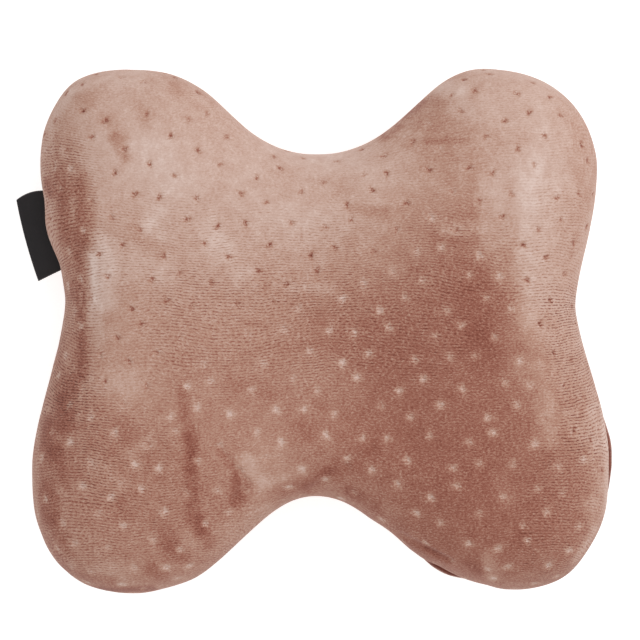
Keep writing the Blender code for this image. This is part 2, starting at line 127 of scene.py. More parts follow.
class Tone:
    """A number that varies over a surface."""

    def __init__(self, finish, socket):
        self.finish, self.socket = finish, socket

    def maths(self, operation, *values, clamp=False):
        made = self.finish.node("ShaderNodeMath", {"operation": operation, "use_clamp": clamp}, *values)
        return Tone(self.finish, made.outputs[0])

    def __add__(self, other):
        return self.maths("ADD", self, other)

    def __sub__(self, other):
        return self.maths("SUBTRACT", self, other)

    def __rsub__(self, other):
        return self.maths("SUBTRACT", other, self)

    def __mul__(self, other):
        return self.maths("MULTIPLY", self, other)

    def __truediv__(self, other):
        return self.maths("DIVIDE", self, other)

    def __pow__(self, other):
        return self.maths("POWER", self, other)

    __radd__, __rmul__ = __add__, __mul__

    def sine(self):
        return self.maths("SINE", self)

    def absolute(self):
        return self.maths("ABSOLUTE", self)

    def within(self):
        """Kept between 0 and 1."""
        return self.maths("ADD", self, 0.0, clamp=True)

    def step(self, low, high):
        """0 below low, 1 above high, and a smooth rise between them."""
        settings = {"interpolation_type": "SMOOTHSTEP"}
        made = self.finish.node("ShaderNodeMapRange", settings, self, low, high)
        return Tone(self.finish, made.outputs[0])


class Finish:
    """One material, built round a Principled shader."""

    def __init__(self, name, **fixed):
        self.material = bpy.data.materials.new(name)
        self.material.use_nodes = True
        self.tree = self.material.node_tree
        self.shader = self.tree.nodes["Principled BSDF"]
        for socket, value in fixed.items():
            self.shader.inputs[socket.replace("_", " ")].default_value = value

    def node(self, kind, settings=None, *values, **named):
        """Any node: its type, its settings, then its sockets in order or by name."""
        made = self.tree.nodes.new(kind)
        for setting, value in (settings or {}).items():
            if setting == "stops":
                self.set_stops(made.color_ramp, value)
            else:
                setattr(made, setting, value)
        for number, value in enumerate(values):
            self.feed(made.inputs[number], value)
        for socket, value in named.items():
            self.feed(made.inputs[socket.replace("_", " ")], value)
        return made

    def feed(self, socket, value):
        value = value.socket if isinstance(value, Tone) else value
        if isinstance(value, bpy.types.NodeSocket):
            self.tree.links.new(value, socket)
        else:
            socket.default_value = value

    def set_stops(self, ramp, stops):
        while len(ramp.elements) > 1:
            ramp.elements.remove(ramp.elements[-1])
        for number, (place, color) in enumerate(stops):
            element = ramp.elements[0] if number == 0 else ramp.elements.new(place)
            element.position = place
            element.color = color

    def tone(self, node, output=0):
        return Tone(self, node.outputs[output])

    def where(self):
        """The place of each point of the surface, in millimetres."""
        place = self.node("ShaderNodeTexCoord").outputs["Object"]
        return self.node("ShaderNodeVectorMath", {"operation": "SCALE"}, place, Scale=1000.0).outputs[0]

    def painted(self, name):
        """A number stored on the mesh's points."""
        return self.tone(self.node("ShaderNodeAttribute", {"attribute_name": name}), "Fac")

    def split(self, vector):
        made = self.node("ShaderNodeSeparateXYZ", None, vector)
        return [self.tone(made, axis) for axis in range(3)]

    def joined(self, x, y, z=0.0):
        return self.node("ShaderNodeCombineXYZ", None, x, y, z).outputs[0]

    def cloud(self, place, size, detail=2.0, roughness=0.5):
        """Soft noise from 0 to 1, its features about one size across."""
        sockets = {"Vector": place, "Scale": 1 / size, "Detail": detail, "Roughness": roughness}
        return self.tone(self.node("ShaderNodeTexNoise", None, **sockets))

    def ramp(self, tone, stops):
        return self.node("ShaderNodeValToRGB", {"stops": stops}, tone).outputs["Color"]

    def mix(self, share, one, other, blend="MIX"):
        settings = {"data_type": "RGBA", "blend_type": blend}
        made = self.node("ShaderNodeMix", settings)
        for socket, value in (("Factor_Float", share), ("A_Color", one), ("B_Color", other)):
            self.feed(next(s for s in made.inputs if s.identifier == socket), value)
        return next(s for s in made.outputs if s.identifier == "Result_Color")

    def relief(self, height, depth, strength=1.0):
        """Bump on the surface. The depth is in millimetres."""
        bump = self.node("ShaderNodeBump", None, Strength=strength, Distance=depth * MM, Height=height)
        self.feed(self.shader.inputs["Normal"], bump.outputs["Normal"])

    def color(self, color):
        self.feed(self.shader.inputs["Base Color"], color)
        return self.material


def srgb(red, green, blue):
    """A colour as a paint card gives it, 0 to 255, as the shader wants it."""
    light = [value / 255 for value in (red, green, blue)]
    return (*[v / 12.92 if v < 0.04045 else ((v + 0.055) / 1.055) ** 2.4 for v in light], 1.0)


# %% [markdown]
# ## The floor and the lamps
#
# With the helpers in place, the floor gets its pale finish. A broad lamp above gives the even light
# of the photograph, a second one from the upper right keeps that side of each lobe a little paler,
# and the world fills in the rest.

# %% Floor and lamps
FLOOR_HALF = 3.0
FLOOR_GLOW = 0.62


def lit_floor():
    finish = Finish("lit_table", Roughness=0.9, Emission_Strength=FLOOR_GLOW)
    haze = finish.cloud(finish.where(), 220.0)
    finish.shader.inputs["Emission Color"].default_value = (1, 1, 1, 1)
    return finish.color(finish.mix(haze, srgb(216, 216, 216), srgb(222, 222, 222)))


def add_floor():
    mesh = bpy.data.meshes.new("floor")
    half = FLOOR_HALF
    low = SOLIDS_BOX[0].z
    corners = [(-half, -half, low), (half, -half, low), (half, half, low), (-half, half, low)]
    mesh.from_pydata(corners, [], [(0, 1, 2, 3)])
    floor = bpy.data.objects.new("floor", mesh)
    bpy.context.scene.collection.objects.link(floor)
    mesh.materials.append(lit_floor())


def add_world(strength):
    world = bpy.data.worlds.new("studio")
    world.use_nodes = True
    sky = world.node_tree.nodes["Background"]
    sky.inputs["Color"].default_value = (1, 1, 1, 1)
    sky.inputs["Strength"].default_value = strength
    bpy.context.scene.world = world


add_floor()
add_world(0.55)
add_lamp("broad_lamp", (0.1, -0.1, 1.6), 1.4, 9)
add_lamp("side_lamp", (0.9, 0.7, 1.0), 0.8, 5)

# %% [markdown]
# ## The outline
#
# Seen from the front the pillow is four lobes with a notch above and below and a waist on each
# side. Twelve places describe it: at each one the edge runs straight across or straight up, and a
# curve joins one to the next. It could be traced with hundreds of points, but twelve curves are
# smoother and can be corrected one at a time. These are the sizes that the solids have too.

# %% Outline
UPPER_LOBES, LOWER_LEFT_LOBE, LOWER_RIGHT_LOBE = 135.3, 135.9, 133.9
UPPER_NOTCH, LOWER_NOTCH = 91.2, 86.1
SHOULDERS, WAIST, HIPS = 143.3, 132.1, 149.2
LEAN = 1.1
RIGHT, UP, LEFT, DOWN = (1, 0), (0, 1), (-1, 0), (0, -1)
OUTLINE = (
    ((WAIST - LEAN, 12.7), 15.3, UP),
    ((SHOULDERS - LEAN, 84.5), 26.7, UP),
    ((83.7, UPPER_LOBES), 36.5, LEFT),
    ((-3.2, UPPER_NOTCH), 46.0, LEFT),
    ((-100.9, UPPER_LOBES), 56.3, LEFT),
    ((-SHOULDERS - LEAN, 59.4), 17.3, DOWN),
    ((-WAIST - LEAN, 14.0), 20.6, DOWN),
    ((-HIPS - LEAN, -69.3), 22.5, DOWN),
    ((-98.0, -LOWER_LEFT_LOBE), 51.2, RIGHT),
    ((-3.8, -LOWER_NOTCH), 32.4, RIGHT),
    ((98.3, -LOWER_RIGHT_LOBE), 49.9, RIGHT),
    ((HIPS - LEAN, -64.3), 19.5, UP),
)
CURVE_STEPS = 66
CHUNK = 2000  # points compared with the outline at once


def traced_outline():
    path = []
    for (place, handle, way), (after, after_handle, after_way) in zip(OUTLINE, OUTLINE[1:] + OUTLINE[:1]):
        start, end = Vector(place), Vector(after)
        leaving = start + handle * Vector(way)
        arriving = end - after_handle * Vector(after_way)
        path += [p[:2] for p in interpolate_bezier(start, leaving, arriving, end, CURVE_STEPS)[:-1]]
    return np.array(path)


def spaced(path, count):
    """Evenly spaced places on a closed path, with their inward normals."""
    step = np.linalg.norm(np.roll(path, -1, axis=0) - path, axis=1)
    travelled = np.concatenate([[0], np.cumsum(step)])
    along = np.roll(path, -1, axis=0) - np.roll(path, 1, axis=0)
    places = np.linspace(0, travelled[-1], count, endpoint=False)

    def at_places(values):
        closed = np.vstack([values, values[:1]])
        return np.column_stack([np.interp(places, travelled, column) for column in closed.T])

    ways = at_places(along)
    ways /= np.linalg.norm(ways, axis=1)[:, None]
    return at_places(path), np.column_stack([-ways[:, 1], ways[:, 0]])


PATH = traced_outline()
TURN = np.sign(PATH[:, 0] @ np.roll(PATH[:, 1], -1) - PATH[:, 1] @ np.roll(PATH[:, 0], -1))


def nearest_edge(points):
    """How far in from the outline each point is, less than 0 outside it, and the way out."""
    insets, ways = [], []
    runs = np.roll(PATH, -1, axis=0) - PATH
    lengths = (runs**2).sum(axis=1)
    for some in np.array_split(points, max(1, len(points) // CHUNK)):
        offsets = some[:, None] - PATH
        part = np.clip((offsets * runs).sum(axis=2) / lengths, 0, 1)
        across = part[:, :, None] * runs - offsets
        away = np.linalg.norm(across, axis=2)
        best = away.argmin(axis=1)
        rows = np.arange(len(some))
        run, offset = runs[best], offsets[rows, best]
        side = np.where((run[:, 0] * offset[:, 1] - run[:, 1] * offset[:, 0]) * TURN < 0, -1, 1)
        insets.append(side * away[rows, best])
        ways.append(across[rows, best] * (side / np.maximum(away[rows, best], 1e-6))[:, None])
    return np.concatenate(insets), np.concatenate(ways)


def inside(points, loop):
    """Whether each point lies inside a closed loop."""
    found = []
    ends = np.roll(loop, -1, axis=0)
    rise = np.where(ends[:, 1] == loop[:, 1], 1, ends[:, 1] - loop[:, 1])
    for some in np.array_split(points, max(1, len(points) // CHUNK)):
        x, y = some[:, None, 0], some[:, None, 1]
        crosses = (loop[:, 1] > y) != (ends[:, 1] > y)
        at = loop[:, 0] + (y - loop[:, 1]) / rise * (ends[:, 0] - loop[:, 0])
        found.append((crosses & (x < at)).sum(axis=1) % 2 == 1)
    return np.concatenate(found)


print(f"outline: {np.ptp(PATH[:, 0]):.1f} by {np.ptp(PATH[:, 1]):.1f} mm")

# %% [markdown]
# ## The form of the cushion
#
# The foam is one moulded block, and its section is the same all round: from the seam the cover
# swells out to its widest place, turns over in a round shoulder and comes to a nearly flat top. A
# superellipse says that with three numbers. The front has a shallow trough across its middle, which
# the neck lies in. The back is flat, with a valley for the zip.

# %% Form
SEAM_HEIGHT = 44.0
SEAM_PINCH = 2.2
BULGE_RISE = 8.0
ROUND_POWER = 2.4
NECK_HOLLOW = 9.0
NECK_HOLLOW_REACH = 78.0
VALLEY_DEPTH = 5.0
VALLEY_FLOOR = 13.5
VALLEY_SIDE = 5.5
VALLEY_REACH = 94.5
ZIP_UP = -30.0
ZIP_LENGTH = 180.0
SLOT_HALF = 4.7
SLOT_REACH = ZIP_LENGTH / 2 + 2.0
COVER_THICKNESS = 2.5
HEM_WIDTH = 6.5
HEM_THICKNESS = 1.6
CLEARANCE = 0.3

Panel = namedtuple("Panel", "side widest rise round_in")
FRONT = Panel(1, SEAM_HEIGHT + BULGE_RISE, 42.0, 50.0)
BACK = Panel(-1, SEAM_HEIGHT - BULGE_RISE, SEAM_HEIGHT - BULGE_RISE, 36.0)


def bell(part):
    """1 at 0, falling smoothly to 0 at 1 and past it."""
    return np.clip(1 - np.asarray(part) ** 2, 0, 1) ** 2


def ease(part):
    """0 at 0, rising smoothly to 1 at 1."""
    part = np.clip(part, 0, 1)
    return part * part * (3 - 2 * part)


def off_zip(points):
    past = np.maximum(np.abs(points[:, 0]) - VALLEY_REACH, 0)
    return np.hypot(past, points[:, 1] - ZIP_UP)


def surface_height(panel, points, insets, depth=0.0):
    """Height of a panel's surface, or of the layer that lies depth below it."""
    left = np.clip(1 - (insets - depth) / (panel.round_in - depth), 0, 1)
    rise = (panel.rise - depth) * (1 - left**ROUND_POWER) ** (1 / ROUND_POWER)
    if panel is FRONT:
        across = points[:, 0] / NECK_HOLLOW_REACH
        rise = rise - NECK_HOLLOW * bell(across) * ease(insets / FRONT.round_in)
    else:
        climb = 1 - (off_zip(points) - VALLEY_FLOOR) / VALLEY_SIDE
        rise = rise - VALLEY_DEPTH * ease(climb)
    return panel.widest + panel.side * rise


def shoulder_steps(panel, reach, count):
    """Insets from 0 to reach, closer together where the shoulder is steep."""
    far = math.acos((1 - reach / panel.round_in) ** (ROUND_POWER / 2))
    turns = np.linspace(0, far, count)
    return panel.round_in * (1 - np.cos(turns) ** (2 / ROUND_POWER))


# %% [markdown]
# ## Where one panel spills past the other
#
# The seam of a soft cover never sits quite even. Beside the lower right lobe the back panel stands
# out past the front one, and under that lobe the seam has rolled round to the front, so that a dark
# crease shows inside the edge. Beside the tab both panels are drawn in. Each such place is a spot on
# the outline with a reach, and it moves one panel's edge, or both, out or in.

# %% Spills
Spill = namedtuple("Spill", "panel out place reach")
SPILLS = (
    Spill(BACK, 3.9, (147.5, -68.0), 40.0),
    Spill(FRONT, -0.2, (147.5, -69.0), 24.0),
    Spill(FRONT, -2.5, (72.0, -126.0), 24.0),
    Spill(BACK, 2.8, (63.0, -125.0), 20.0),
    Spill(FRONT, -2.5, (-142.5, 50.0), 30.0),
    Spill(BACK, -2.0, (-142.5, 50.0), 30.0),
    Spill(None, -1.6, (-141.0, -116.0), 28.0),
    Spill(None, -0.9, (-79.0, -134.0), 16.0),
    Spill(None, -1.0, (138.5, -113.5), 22.0),
    Spill(None, -0.8, (35.0, -104.0), 14.0),
    Spill(None, -0.6, (130.0, 110.0), 30.0),
    Spill(None, -1.0, (-139.0, 118.0), 20.0),
)
COVER_DRAW = 0.5  # the sewn cover draws in this much all round
DEEPEST_DRAW = 1.6  # further in, the foam stops it


def spill_at(panel, points):
    """How far a panel's edge stands out at each point. No panel given means that both move."""
    out = np.full(len(points), -COVER_DRAW)
    for spill in SPILLS:
        if spill.panel in (panel, None):
            out += spill.out * bell(np.linalg.norm(points - spill.place, axis=1) / spill.reach)
    return np.maximum(out, -DEEPEST_DRAW)


# %% [markdown]
# ## Meshes from loops and fields
#
# Each panel is built as a sewer would think of it: rings of points run round the edge, from the
# turned-in hem through the seam and over the shoulder, and the flat middle is filled with a field
# of points that a Delaunay triangulation joins. A plain grid would be simpler, but it would cut the
# outline into steps and could not pack more points where the pin dots need them.

# %% Skin


class Skin:
    """Points and faces of one closed piece, gathered in millimetres."""

    def __init__(self):
        self.points, self.faces, self.count = [], [], 0

    def add(self, points):
        """Adds points and gives back their numbers."""
        points = np.asarray(points, float)
        numbers = np.arange(self.count, self.count + len(points))
        self.points.append(points)
        self.count += len(points)
        return numbers

    def bands(self, rings):
        for one, other in zip(rings, rings[1:]):
            after, other_after = np.roll(one, -1), np.roll(other, -1)
            self.faces += np.column_stack([one, after, other_after, other]).tolist()

    def fill(self, border, flat_border, height_at, loops=(), field=(), hole=None):
        """Faces inside a border ring, through further loops and points. It gives back the hole's ring."""
        flat = [flat_border, *loops]
        numbers = [border]
        starts = np.cumsum([0, *[len(loop) for loop in flat]])
        edges = [
            (int(start + i), int(start + (i + 1) % len(loop)))
            for start, loop in zip(starts, flat)
            for i in range(len(loop))
        ]
        hole_numbers = None
        for loop in loops:
            numbers.append(self.add(np.column_stack([loop, height_at(loop)])))
            hole_numbers = numbers[-1] if loop is hole else hole_numbers
        if len(field):
            flat.append(field)
            numbers.append(self.add(np.column_stack([field, height_at(field)])))
        flat = np.vstack(flat)
        numbers = np.concatenate(numbers)
        found = delaunay_2d_cdt([Vector(point) for point in flat], edges, [], 1, 1e-7)
        came_from = np.array([origins[0] for origins in found[3]])
        corners = came_from[np.array(found[2])]
        if hole is not None:
            corners = corners[~inside(flat[corners].mean(axis=1), hole)]
        self.faces += numbers[corners].tolist()
        return hole_numbers

    def make(self, name):
        mesh = bpy.data.meshes.new(name)
        mesh.from_pydata(np.vstack(self.points) * MM, [], self.faces)
        turned = bmesh.new()
        turned.from_mesh(mesh)
        bmesh.ops.recalc_face_normals(turned, faces=turned.faces)
        turned.to_mesh(mesh)
        turned.free()
        mesh.shade_smooth()
        obj = bpy.data.objects.new(name, mesh)
        bpy.context.scene.collection.objects.link(obj)
        return obj


def points_of(obj):
    points = np.empty(len(obj.data.vertices) * 3, np.float32)
    obj.data.vertices.foreach_get("co", points)
    return points.reshape(-1, 3).astype(float) / MM


def normals_of(obj):
    normals = np.empty(len(obj.data.vertices) * 3, np.float32)
    obj.data.vertex_normals.foreach_get("vector", normals)
    return normals.reshape(-1, 3).astype(float)


def move_points(obj, points):
    obj.data.vertices.foreach_set("co", (points * MM).astype(np.float32).ravel())
    obj.data.update()


def paint_points(obj, name, values):
    """Stores a number on each point, for the material to read."""
    attribute = obj.data.attributes.new(name, "FLOAT", "POINT")
    attribute.data.foreach_set("value", np.asarray(values, np.float32))


def soft_noise(points, size, seed):
    """Smooth noise from -1 to 1 at each point, its features about one size across."""
    shift = Vector((seed * 17.3, seed * 5.1, seed * 9.7))
    return np.array([noise.noise(Vector(point) / size + shift) for point in points])


# %% [markdown]
# ## The pin dots
#
# Pin dots are small points where a hot pin has pressed the pile flat, in staggered rows that
# wander. Each one is a pit 3 to 4 mm across with soft and uneven arms, where the pile falls into it.
# The solids have them as low cones. Here each one gets rings of points of its own, close enough
# together to model the pit itself, so that the dots catch the light from any side.

# %% Dot places
DOT_PITCH, DOT_ROW, DOT_DRIFT = 17.6, 13.4, 3.4
DOT_MARGIN = 16.5
DOT_RINGS = ((0.5, 6), (1.0, 8), (1.5, 10), (2.1, 12), (2.8, 12))
DOT_CLEAR = 3.5
DOT_TURN = math.radians(137.5)  # each dot strays in its own direction


def dot_pattern():
    """The whole pattern, as it is on the flat cloth."""
    places = []
    for row in range(-19, 20):
        for column in range(-15, 16):
            stray = DOT_TURN * (column * 7 + row * 11)
            x = (column + 0.5 * (row % 2)) * DOT_PITCH + DOT_DRIFT * math.cos(stray)
            y = row * DOT_ROW + DOT_DRIFT * math.sin(1.7 * stray)
            places.append((x, y))
    return np.array(places)


def dot_places():
    places = dot_pattern()
    return places[inside(places, PATH) & (nearest_edge(places)[0] > DOT_MARGIN)]


DOTS = dot_places()
print(len(DOTS), "pin dots in the middle")

# %% [markdown]
# ## The ribbon tab
#
# A black ribbon, folded double, is sewn into the left side seam. It is stiff enough to stand out on
# its own. Its fold bows out a little in the middle and its upper edge curves, because the seam that
# holds it is curved. The two layers and the fold are one closed strip, swept from one selvedge to
# the other between four corners, and its root goes 3.7 mm into the seam, which parts round it.

# %% Ribbon tab
TAB_ROOT = (np.array((-135.4, 31.7)), np.array((-145.6, 72.8)))
TAB_FOLD = (np.array((-148.1, 25.6)), np.array((-159.5, 67.9)))
TAB_REACH, TAB_HIDDEN = 15.0, 3.7
TAB_BOW, TAB_CURVE, TAB_DROOP = 0.9, 1.3, 1.6
TAB_ROWS = 72
TAB_PARTING = 0.85
TAB_PAST, TAB_EASE, TAB_NEAR = 2.5, 2.0, 30.0  # where the seam closes again beside the tab
RIBBON_THICKNESS, RIBBON_PARTING = 0.5, 0.4
SELVEDGE = (0.0, 0.12, 0.35)  # the rows of points at each selvedge, from its edge
THINNED = (0.45, 0.85)  # how thick the ribbon is at the first two of them
RIBBON_MIDDLE = (RIBBON_PARTING + RIBBON_THICKNESS) / 2
TAB_HALF = np.linalg.norm(TAB_ROOT[1] - TAB_ROOT[0]) / 2
TAB_ALONG = (TAB_ROOT[1] - TAB_ROOT[0]) / (2 * TAB_HALF)


def beside_tab(points):
    """1 where the seam holds the tab's root, and 0 a little past its corners."""
    middle = (TAB_ROOT[0] + TAB_ROOT[1]) / 2
    along = np.abs((points - middle) @ TAB_ALONG)
    near = (points[:, 0] < 0) & (np.abs(points[:, 1] - middle[1]) < TAB_NEAR)
    return ease((TAB_HALF + TAB_PAST - along) / TAB_EASE) * near


def ribbon_path(radius):
    """Along the top layer, round the fold and back, as (way out, up) pairs."""
    centre = TAB_REACH - RIBBON_PARTING / 2 - RIBBON_THICKNESS
    straight = np.column_stack([np.linspace(-TAB_HIDDEN, centre, 24), np.full(24, radius)])
    turns = math.pi * (0.5 - np.arange(1, 8) / 8)
    fold = np.column_stack([centre + radius * np.cos(turns), radius * np.sin(turns)])
    return np.vstack([straight, fold, straight[::-1] * (1, -1)])


def tab_row(part, thinned):
    """One line of the ribbon across its run, part of the way up the seam."""
    root = TAB_ROOT[0] + part * (TAB_ROOT[1] - TAB_ROOT[0])
    fold = TAB_FOLD[0] + part * (TAB_FOLD[1] - TAB_FOLD[0])
    rows = []
    for side in (1, -1):
        reach, up = ribbon_path(RIBBON_MIDDLE + side * thinned * RIBBON_THICKNESS / 2).T
        share = np.clip(reach / TAB_REACH, 0, 1)
        length = 1 + TAB_BOW * 4 * part * (1 - part) / TAB_REACH
        flat = root + np.outer(reach / TAB_REACH * length, fold - root)
        curve = TAB_CURVE * part**6 * 4 * share * (1 - share)
        sag = TAB_DROOP * share**2 * (1 - 0.4 * part)
        rows.append(np.column_stack([flat + np.outer(curve, TAB_ALONG), SEAM_HEIGHT + up - sag]))
    return rows


def ribbon_tab():
    skin = Skin()
    edge = np.array(SELVEDGE) / (2 * TAB_HALF)
    parts = np.concatenate([edge, np.linspace(edge[-1], 1 - edge[-1], TAB_ROWS)[1:-1], 1 - edge[::-1]])
    path = ribbon_path(RIBBON_MIDDLE)
    run = np.cumsum(np.linalg.norm(np.diff(path, axis=0, prepend=path[:1]), axis=1))
    outside, within, runs, wide = [], [], [], []
    for number, part in enumerate(parts):
        from_end = min(number, len(parts) - 1 - number)
        one, other = tab_row(part, THINNED[from_end] if from_end < 2 else 1.0)
        outside.append(skin.add(one))
        within.append(skin.add(other))
        runs += [run, run]
        wide += [np.full(2 * len(run), (part - 0.5) * 2 * TAB_HALF)]
    skin.bands([np.concatenate([one, other[::-1]]) for one, other in zip(outside, within)])
    for one, other in ((outside[0], within[0]), (outside[-1], within[-1])):
        skin.faces += np.column_stack([one[:-1], one[1:], other[1:], other[:-1]]).tolist()
    piece = skin.make("ribbon_tab")
    paint_points(piece, "run", np.concatenate(runs))
    paint_points(piece, "wide", np.concatenate(wide))
    print(f"ribbon {2 * TAB_HALF:.1f} mm wide, cut {run[-1]:.1f} mm long")
    return piece, run[-1]


tab, tab_length = ribbon_tab()

# %% [markdown]
# ## The two panels
#
# The front panel's rings start at its hem and end 14 mm in from the outline, where the field takes
# over. The field is a hexagonal grid about 1.4 mm apart with room left round each dot. The lining
# side is coarse, because nobody sees it, and it closes the piece. The back panel is the same, with
# the loops of the zip's valley and an open slot instead of dots.

# %% Panels
FIELD_START = 14.0
FRONT_FINENESS = (1100, 38, 1.4)  # points round the rim, rings over the shoulder, pitch of the field
BACK_FINENESS = (780, 27, 2.2)
LINING_PITCH = 9.0
FIELD_WIDE, FIELD_HIGH = 155, 140  # the field's reach each way before the outline cuts it
LOOP_PITCH = 2.5
TUCK_TURNS = (1.0, 0.9, 0.72, 0.5, 0.25)


def hex_field(pitch, margin):
    """An even field of points, margin or more in from the outline."""
    rows = np.arange(-FIELD_HIGH, FIELD_HIGH, pitch * math.sin(math.radians(60)))
    columns = np.arange(-FIELD_WIDE, FIELD_WIDE, pitch)
    x, y = np.meshgrid(columns, rows)
    x = x + (np.arange(len(rows)) % 2)[:, None] * pitch / 2
    field = np.column_stack([x.ravel(), y.ravel()])
    field = field[inside(field, PATH)]
    return field[nearest_edge(field)[0] > margin]


def dotted_field(pitch, margin):
    """The same with each dot's own rings of points in place of the grid."""
    field = hex_field(pitch, margin)
    near = KDTree(len(DOTS))
    for number, (x, y) in enumerate(DOTS):
        near.insert((x, y, 0), number)
    near.balance()
    clear = np.array([near.find((x, y, 0))[2] > DOT_CLEAR for x, y in field])
    rings = [DOTS]
    for radius, count in DOT_RINGS:
        turns = 2 * math.pi * np.arange(count) / count
        arms = radius * np.column_stack([np.cos(turns), np.sin(turns)])
        rings.append((DOTS[:, None] + arms).reshape(-1, 2))
    return np.vstack([field[clear], *rings])


def edge_rings(skin, panel, rim, inward, depth, seam_face, steps, tuck):
    """Rings from the seam, over the widest part, to the border of the panel's middle."""
    rings = []
    out = spill_at(panel, rim)[:, None]
    out = out if depth == 0 else np.maximum(out, 0)
    for part in tuck:
        inset = depth + SEAM_PINCH * (1 - math.sqrt(1 - part * part))
        height = panel.widest - panel.side * (BULGE_RISE - seam_face) * part
        points = rim + inward * (inset - out)
        rings.append(skin.add(np.column_stack([points, np.full(len(points), height)])))
    for step in steps:
        fade = 1 - ease(step / FIELD_START)
        flat = rim + inward * (depth + step)
        heights = surface_height(panel, flat, np.full(len(flat), depth + step), depth)
        rings.append(skin.add(np.column_stack([flat - inward * out * fade, heights])))
    return rings, rim + inward * (depth + steps[-1])


def zip_loop(reach, away, count):
    """A closed loop at one distance from the zip's line: two straight sides and two round ends."""
    turns = math.pi * (np.arange(count + 1) / count - 0.5)
    right = np.column_stack([reach + away * np.cos(turns), away * np.sin(turns)])
    spread = max(2, int(2 * reach / LOOP_PITCH))
    straight = reach * (1 - 2 * np.arange(1, spread) / spread)
    top = np.column_stack([straight, np.full(len(straight), away)])
    half = np.vstack([right, top])
    return np.vstack([half, -half]) + (0, ZIP_UP)


def panel_skin(name, panel, fineness):
    skin = Skin()
    around, over, pitch = fineness
    rim, inward = spaced(PATH, around)
    steps = shoulder_steps(panel, FIELD_START, over)
    face = CLEARANCE / 2 + TAB_PARTING * beside_tab(rim)
    outer, border = edge_rings(skin, panel, rim, inward, 0.0, face, steps, TUCK_TURNS)
    lining_steps = shoulder_steps(panel, FIELD_START - 2, 6)
    inner, lining_border = edge_rings(
        skin, panel, rim, inward, COVER_THICKNESS, face + HEM_THICKNESS, lining_steps, (1.0, 0.6)
    )
    hem_line = rim + inward * (SEAM_PINCH + HEM_WIDTH)
    hem_heights = [SEAM_HEIGHT + panel.side * off for off in (face, face + HEM_THICKNESS)]
    hem = [skin.add(np.column_stack([hem_line, heights])) for heights in hem_heights]
    skin.bands([*outer[::-1], *hem, *inner])

    def outer_height(points):
        return surface_height(panel, points, nearest_edge(points)[0])

    def inner_height(points):
        return surface_height(panel, points, nearest_edge(points)[0], COVER_THICKNESS)

    lining = hex_field(LINING_PITCH, FIELD_START + COVER_THICKNESS + 2)
    if panel is FRONT:
        skin.fill(outer[-1], border, outer_height, field=dotted_field(pitch, FIELD_START + 1))
        skin.fill(inner[-1], lining_border, inner_height, field=lining)
    else:
        slot = zip_loop(SLOT_REACH, SLOT_HALF, 12)
        valley = np.linspace(VALLEY_FLOOR, VALLEY_FLOOR + VALLEY_SIDE, 6)
        loops = [slot, *[zip_loop(VALLEY_REACH, away, 20) for away in valley]]
        field = hex_field(pitch, FIELD_START + 1)
        past = np.maximum(np.abs(field[:, 0]) - SLOT_REACH, 0)
        off_slot = np.hypot(past, field[:, 1] - ZIP_UP)
        off_side = np.abs(off_zip(field) - VALLEY_FLOOR - VALLEY_SIDE / 2)
        keep = (off_slot > SLOT_HALF + 1) & (off_side > VALLEY_SIDE / 2 + 1)
        outside = skin.fill(outer[-1], border, outer_height, loops, field[keep], hole=slot)
        rough = [slot, loops[1], loops[-1]]
        lining = lining[off_zip(lining) > VALLEY_FLOOR + VALLEY_SIDE + 2]
        within = skin.fill(inner[-1], lining_border, inner_height, rough, lining, hole=slot)
        skin.bands([outside, within])
    piece = skin.make(name)
    print(name, len(piece.data.polygons), "faces")
    return piece


front = panel_skin("plush_front", FRONT, FRONT_FINENESS)
back = panel_skin("plush_back", BACK, BACK_FINENESS)

# %% [markdown]
# ## Letting the cover settle on its foam
#
# A sewn cover is never as even as its pattern. Over soft foam it swells between the seam and the
# places where it is held, and it pulls flat across the notches. Cloth simulation shows where. The
# cover is far too fine to simulate, so a coarse copy with one closed skin is blown up a little for
# twenty frames, with its seam and its flat back held. How far each of its points moved is then a
# soft field, and every point of the fine panels moves by the field's value near it. The move is
# capped, because the foam fills the cover and holds it, and it fades out sideways near the outline,
# which was measured on the finished pillow.

# %% Settling
SKIN_PITCH = 5.5
SKIN_RIM = 200  # points round the rim
SKIN_RINGS = 7
SETTLE_FRAMES = 20
SETTLE_PRESSURE = 4.0
SETTLE_SLACK = -0.012
SETTLE_OUT = 2.6
SETTLE_BLUR = 5.0
SETTLE_FREE = 16.0  # sideways moves fade out this far in from the outline


def settling_skin():
    skin = Skin()
    rim, inward = spaced(PATH, SKIN_RIM)
    rings = []
    for panel, tuck in ((FRONT, (1.0, 0.5)), (BACK, (0.5,))):
        steps = shoulder_steps(panel, FIELD_START, SKIN_RINGS)
        found, border = edge_rings(skin, panel, rim, inward, 0.0, 0.0, steps, tuck)
        rings.append(found)

        def height(points, panel=panel):
            return surface_height(panel, points, nearest_edge(points)[0])

        skin.fill(found[-1], border, height, field=hex_field(SKIN_PITCH, FIELD_START + SKIN_PITCH / 2))
    skin.bands([*rings[0][::-1], *rings[1]])
    return skin.make("settling_skin")


def settled(skin):
    """Runs the cloth and gives the places of the skin's points before and after."""
    start = points_of(skin)
    held = skin.vertex_groups.new(name="held")
    at_seam = np.abs(start[:, 2] - SEAM_HEIGHT) < 1
    at_rest = start[:, 2] < VALLEY_DEPTH + 1
    held.add(np.flatnonzero(at_seam | at_rest).tolist(), 1.0, "REPLACE")
    cloth = skin.modifiers.new("cloth", "CLOTH")
    cloth.settings.vertex_group_mass = "held"
    cloth.settings.use_pressure = True
    cloth.settings.uniform_pressure_force = SETTLE_PRESSURE
    cloth.settings.shrink_min = SETTLE_SLACK
    cloth.settings.effector_weights.gravity = 0
    for number in range(1, SETTLE_FRAMES + 1):
        bpy.context.scene.frame_set(number)
    moved = skin.evaluated_get(bpy.context.evaluated_depsgraph_get())
    after = np.array([point.co for point in moved.data.vertices]) / MM
    bpy.context.scene.frame_set(1)
    bpy.data.objects.remove(skin)
    return start, after


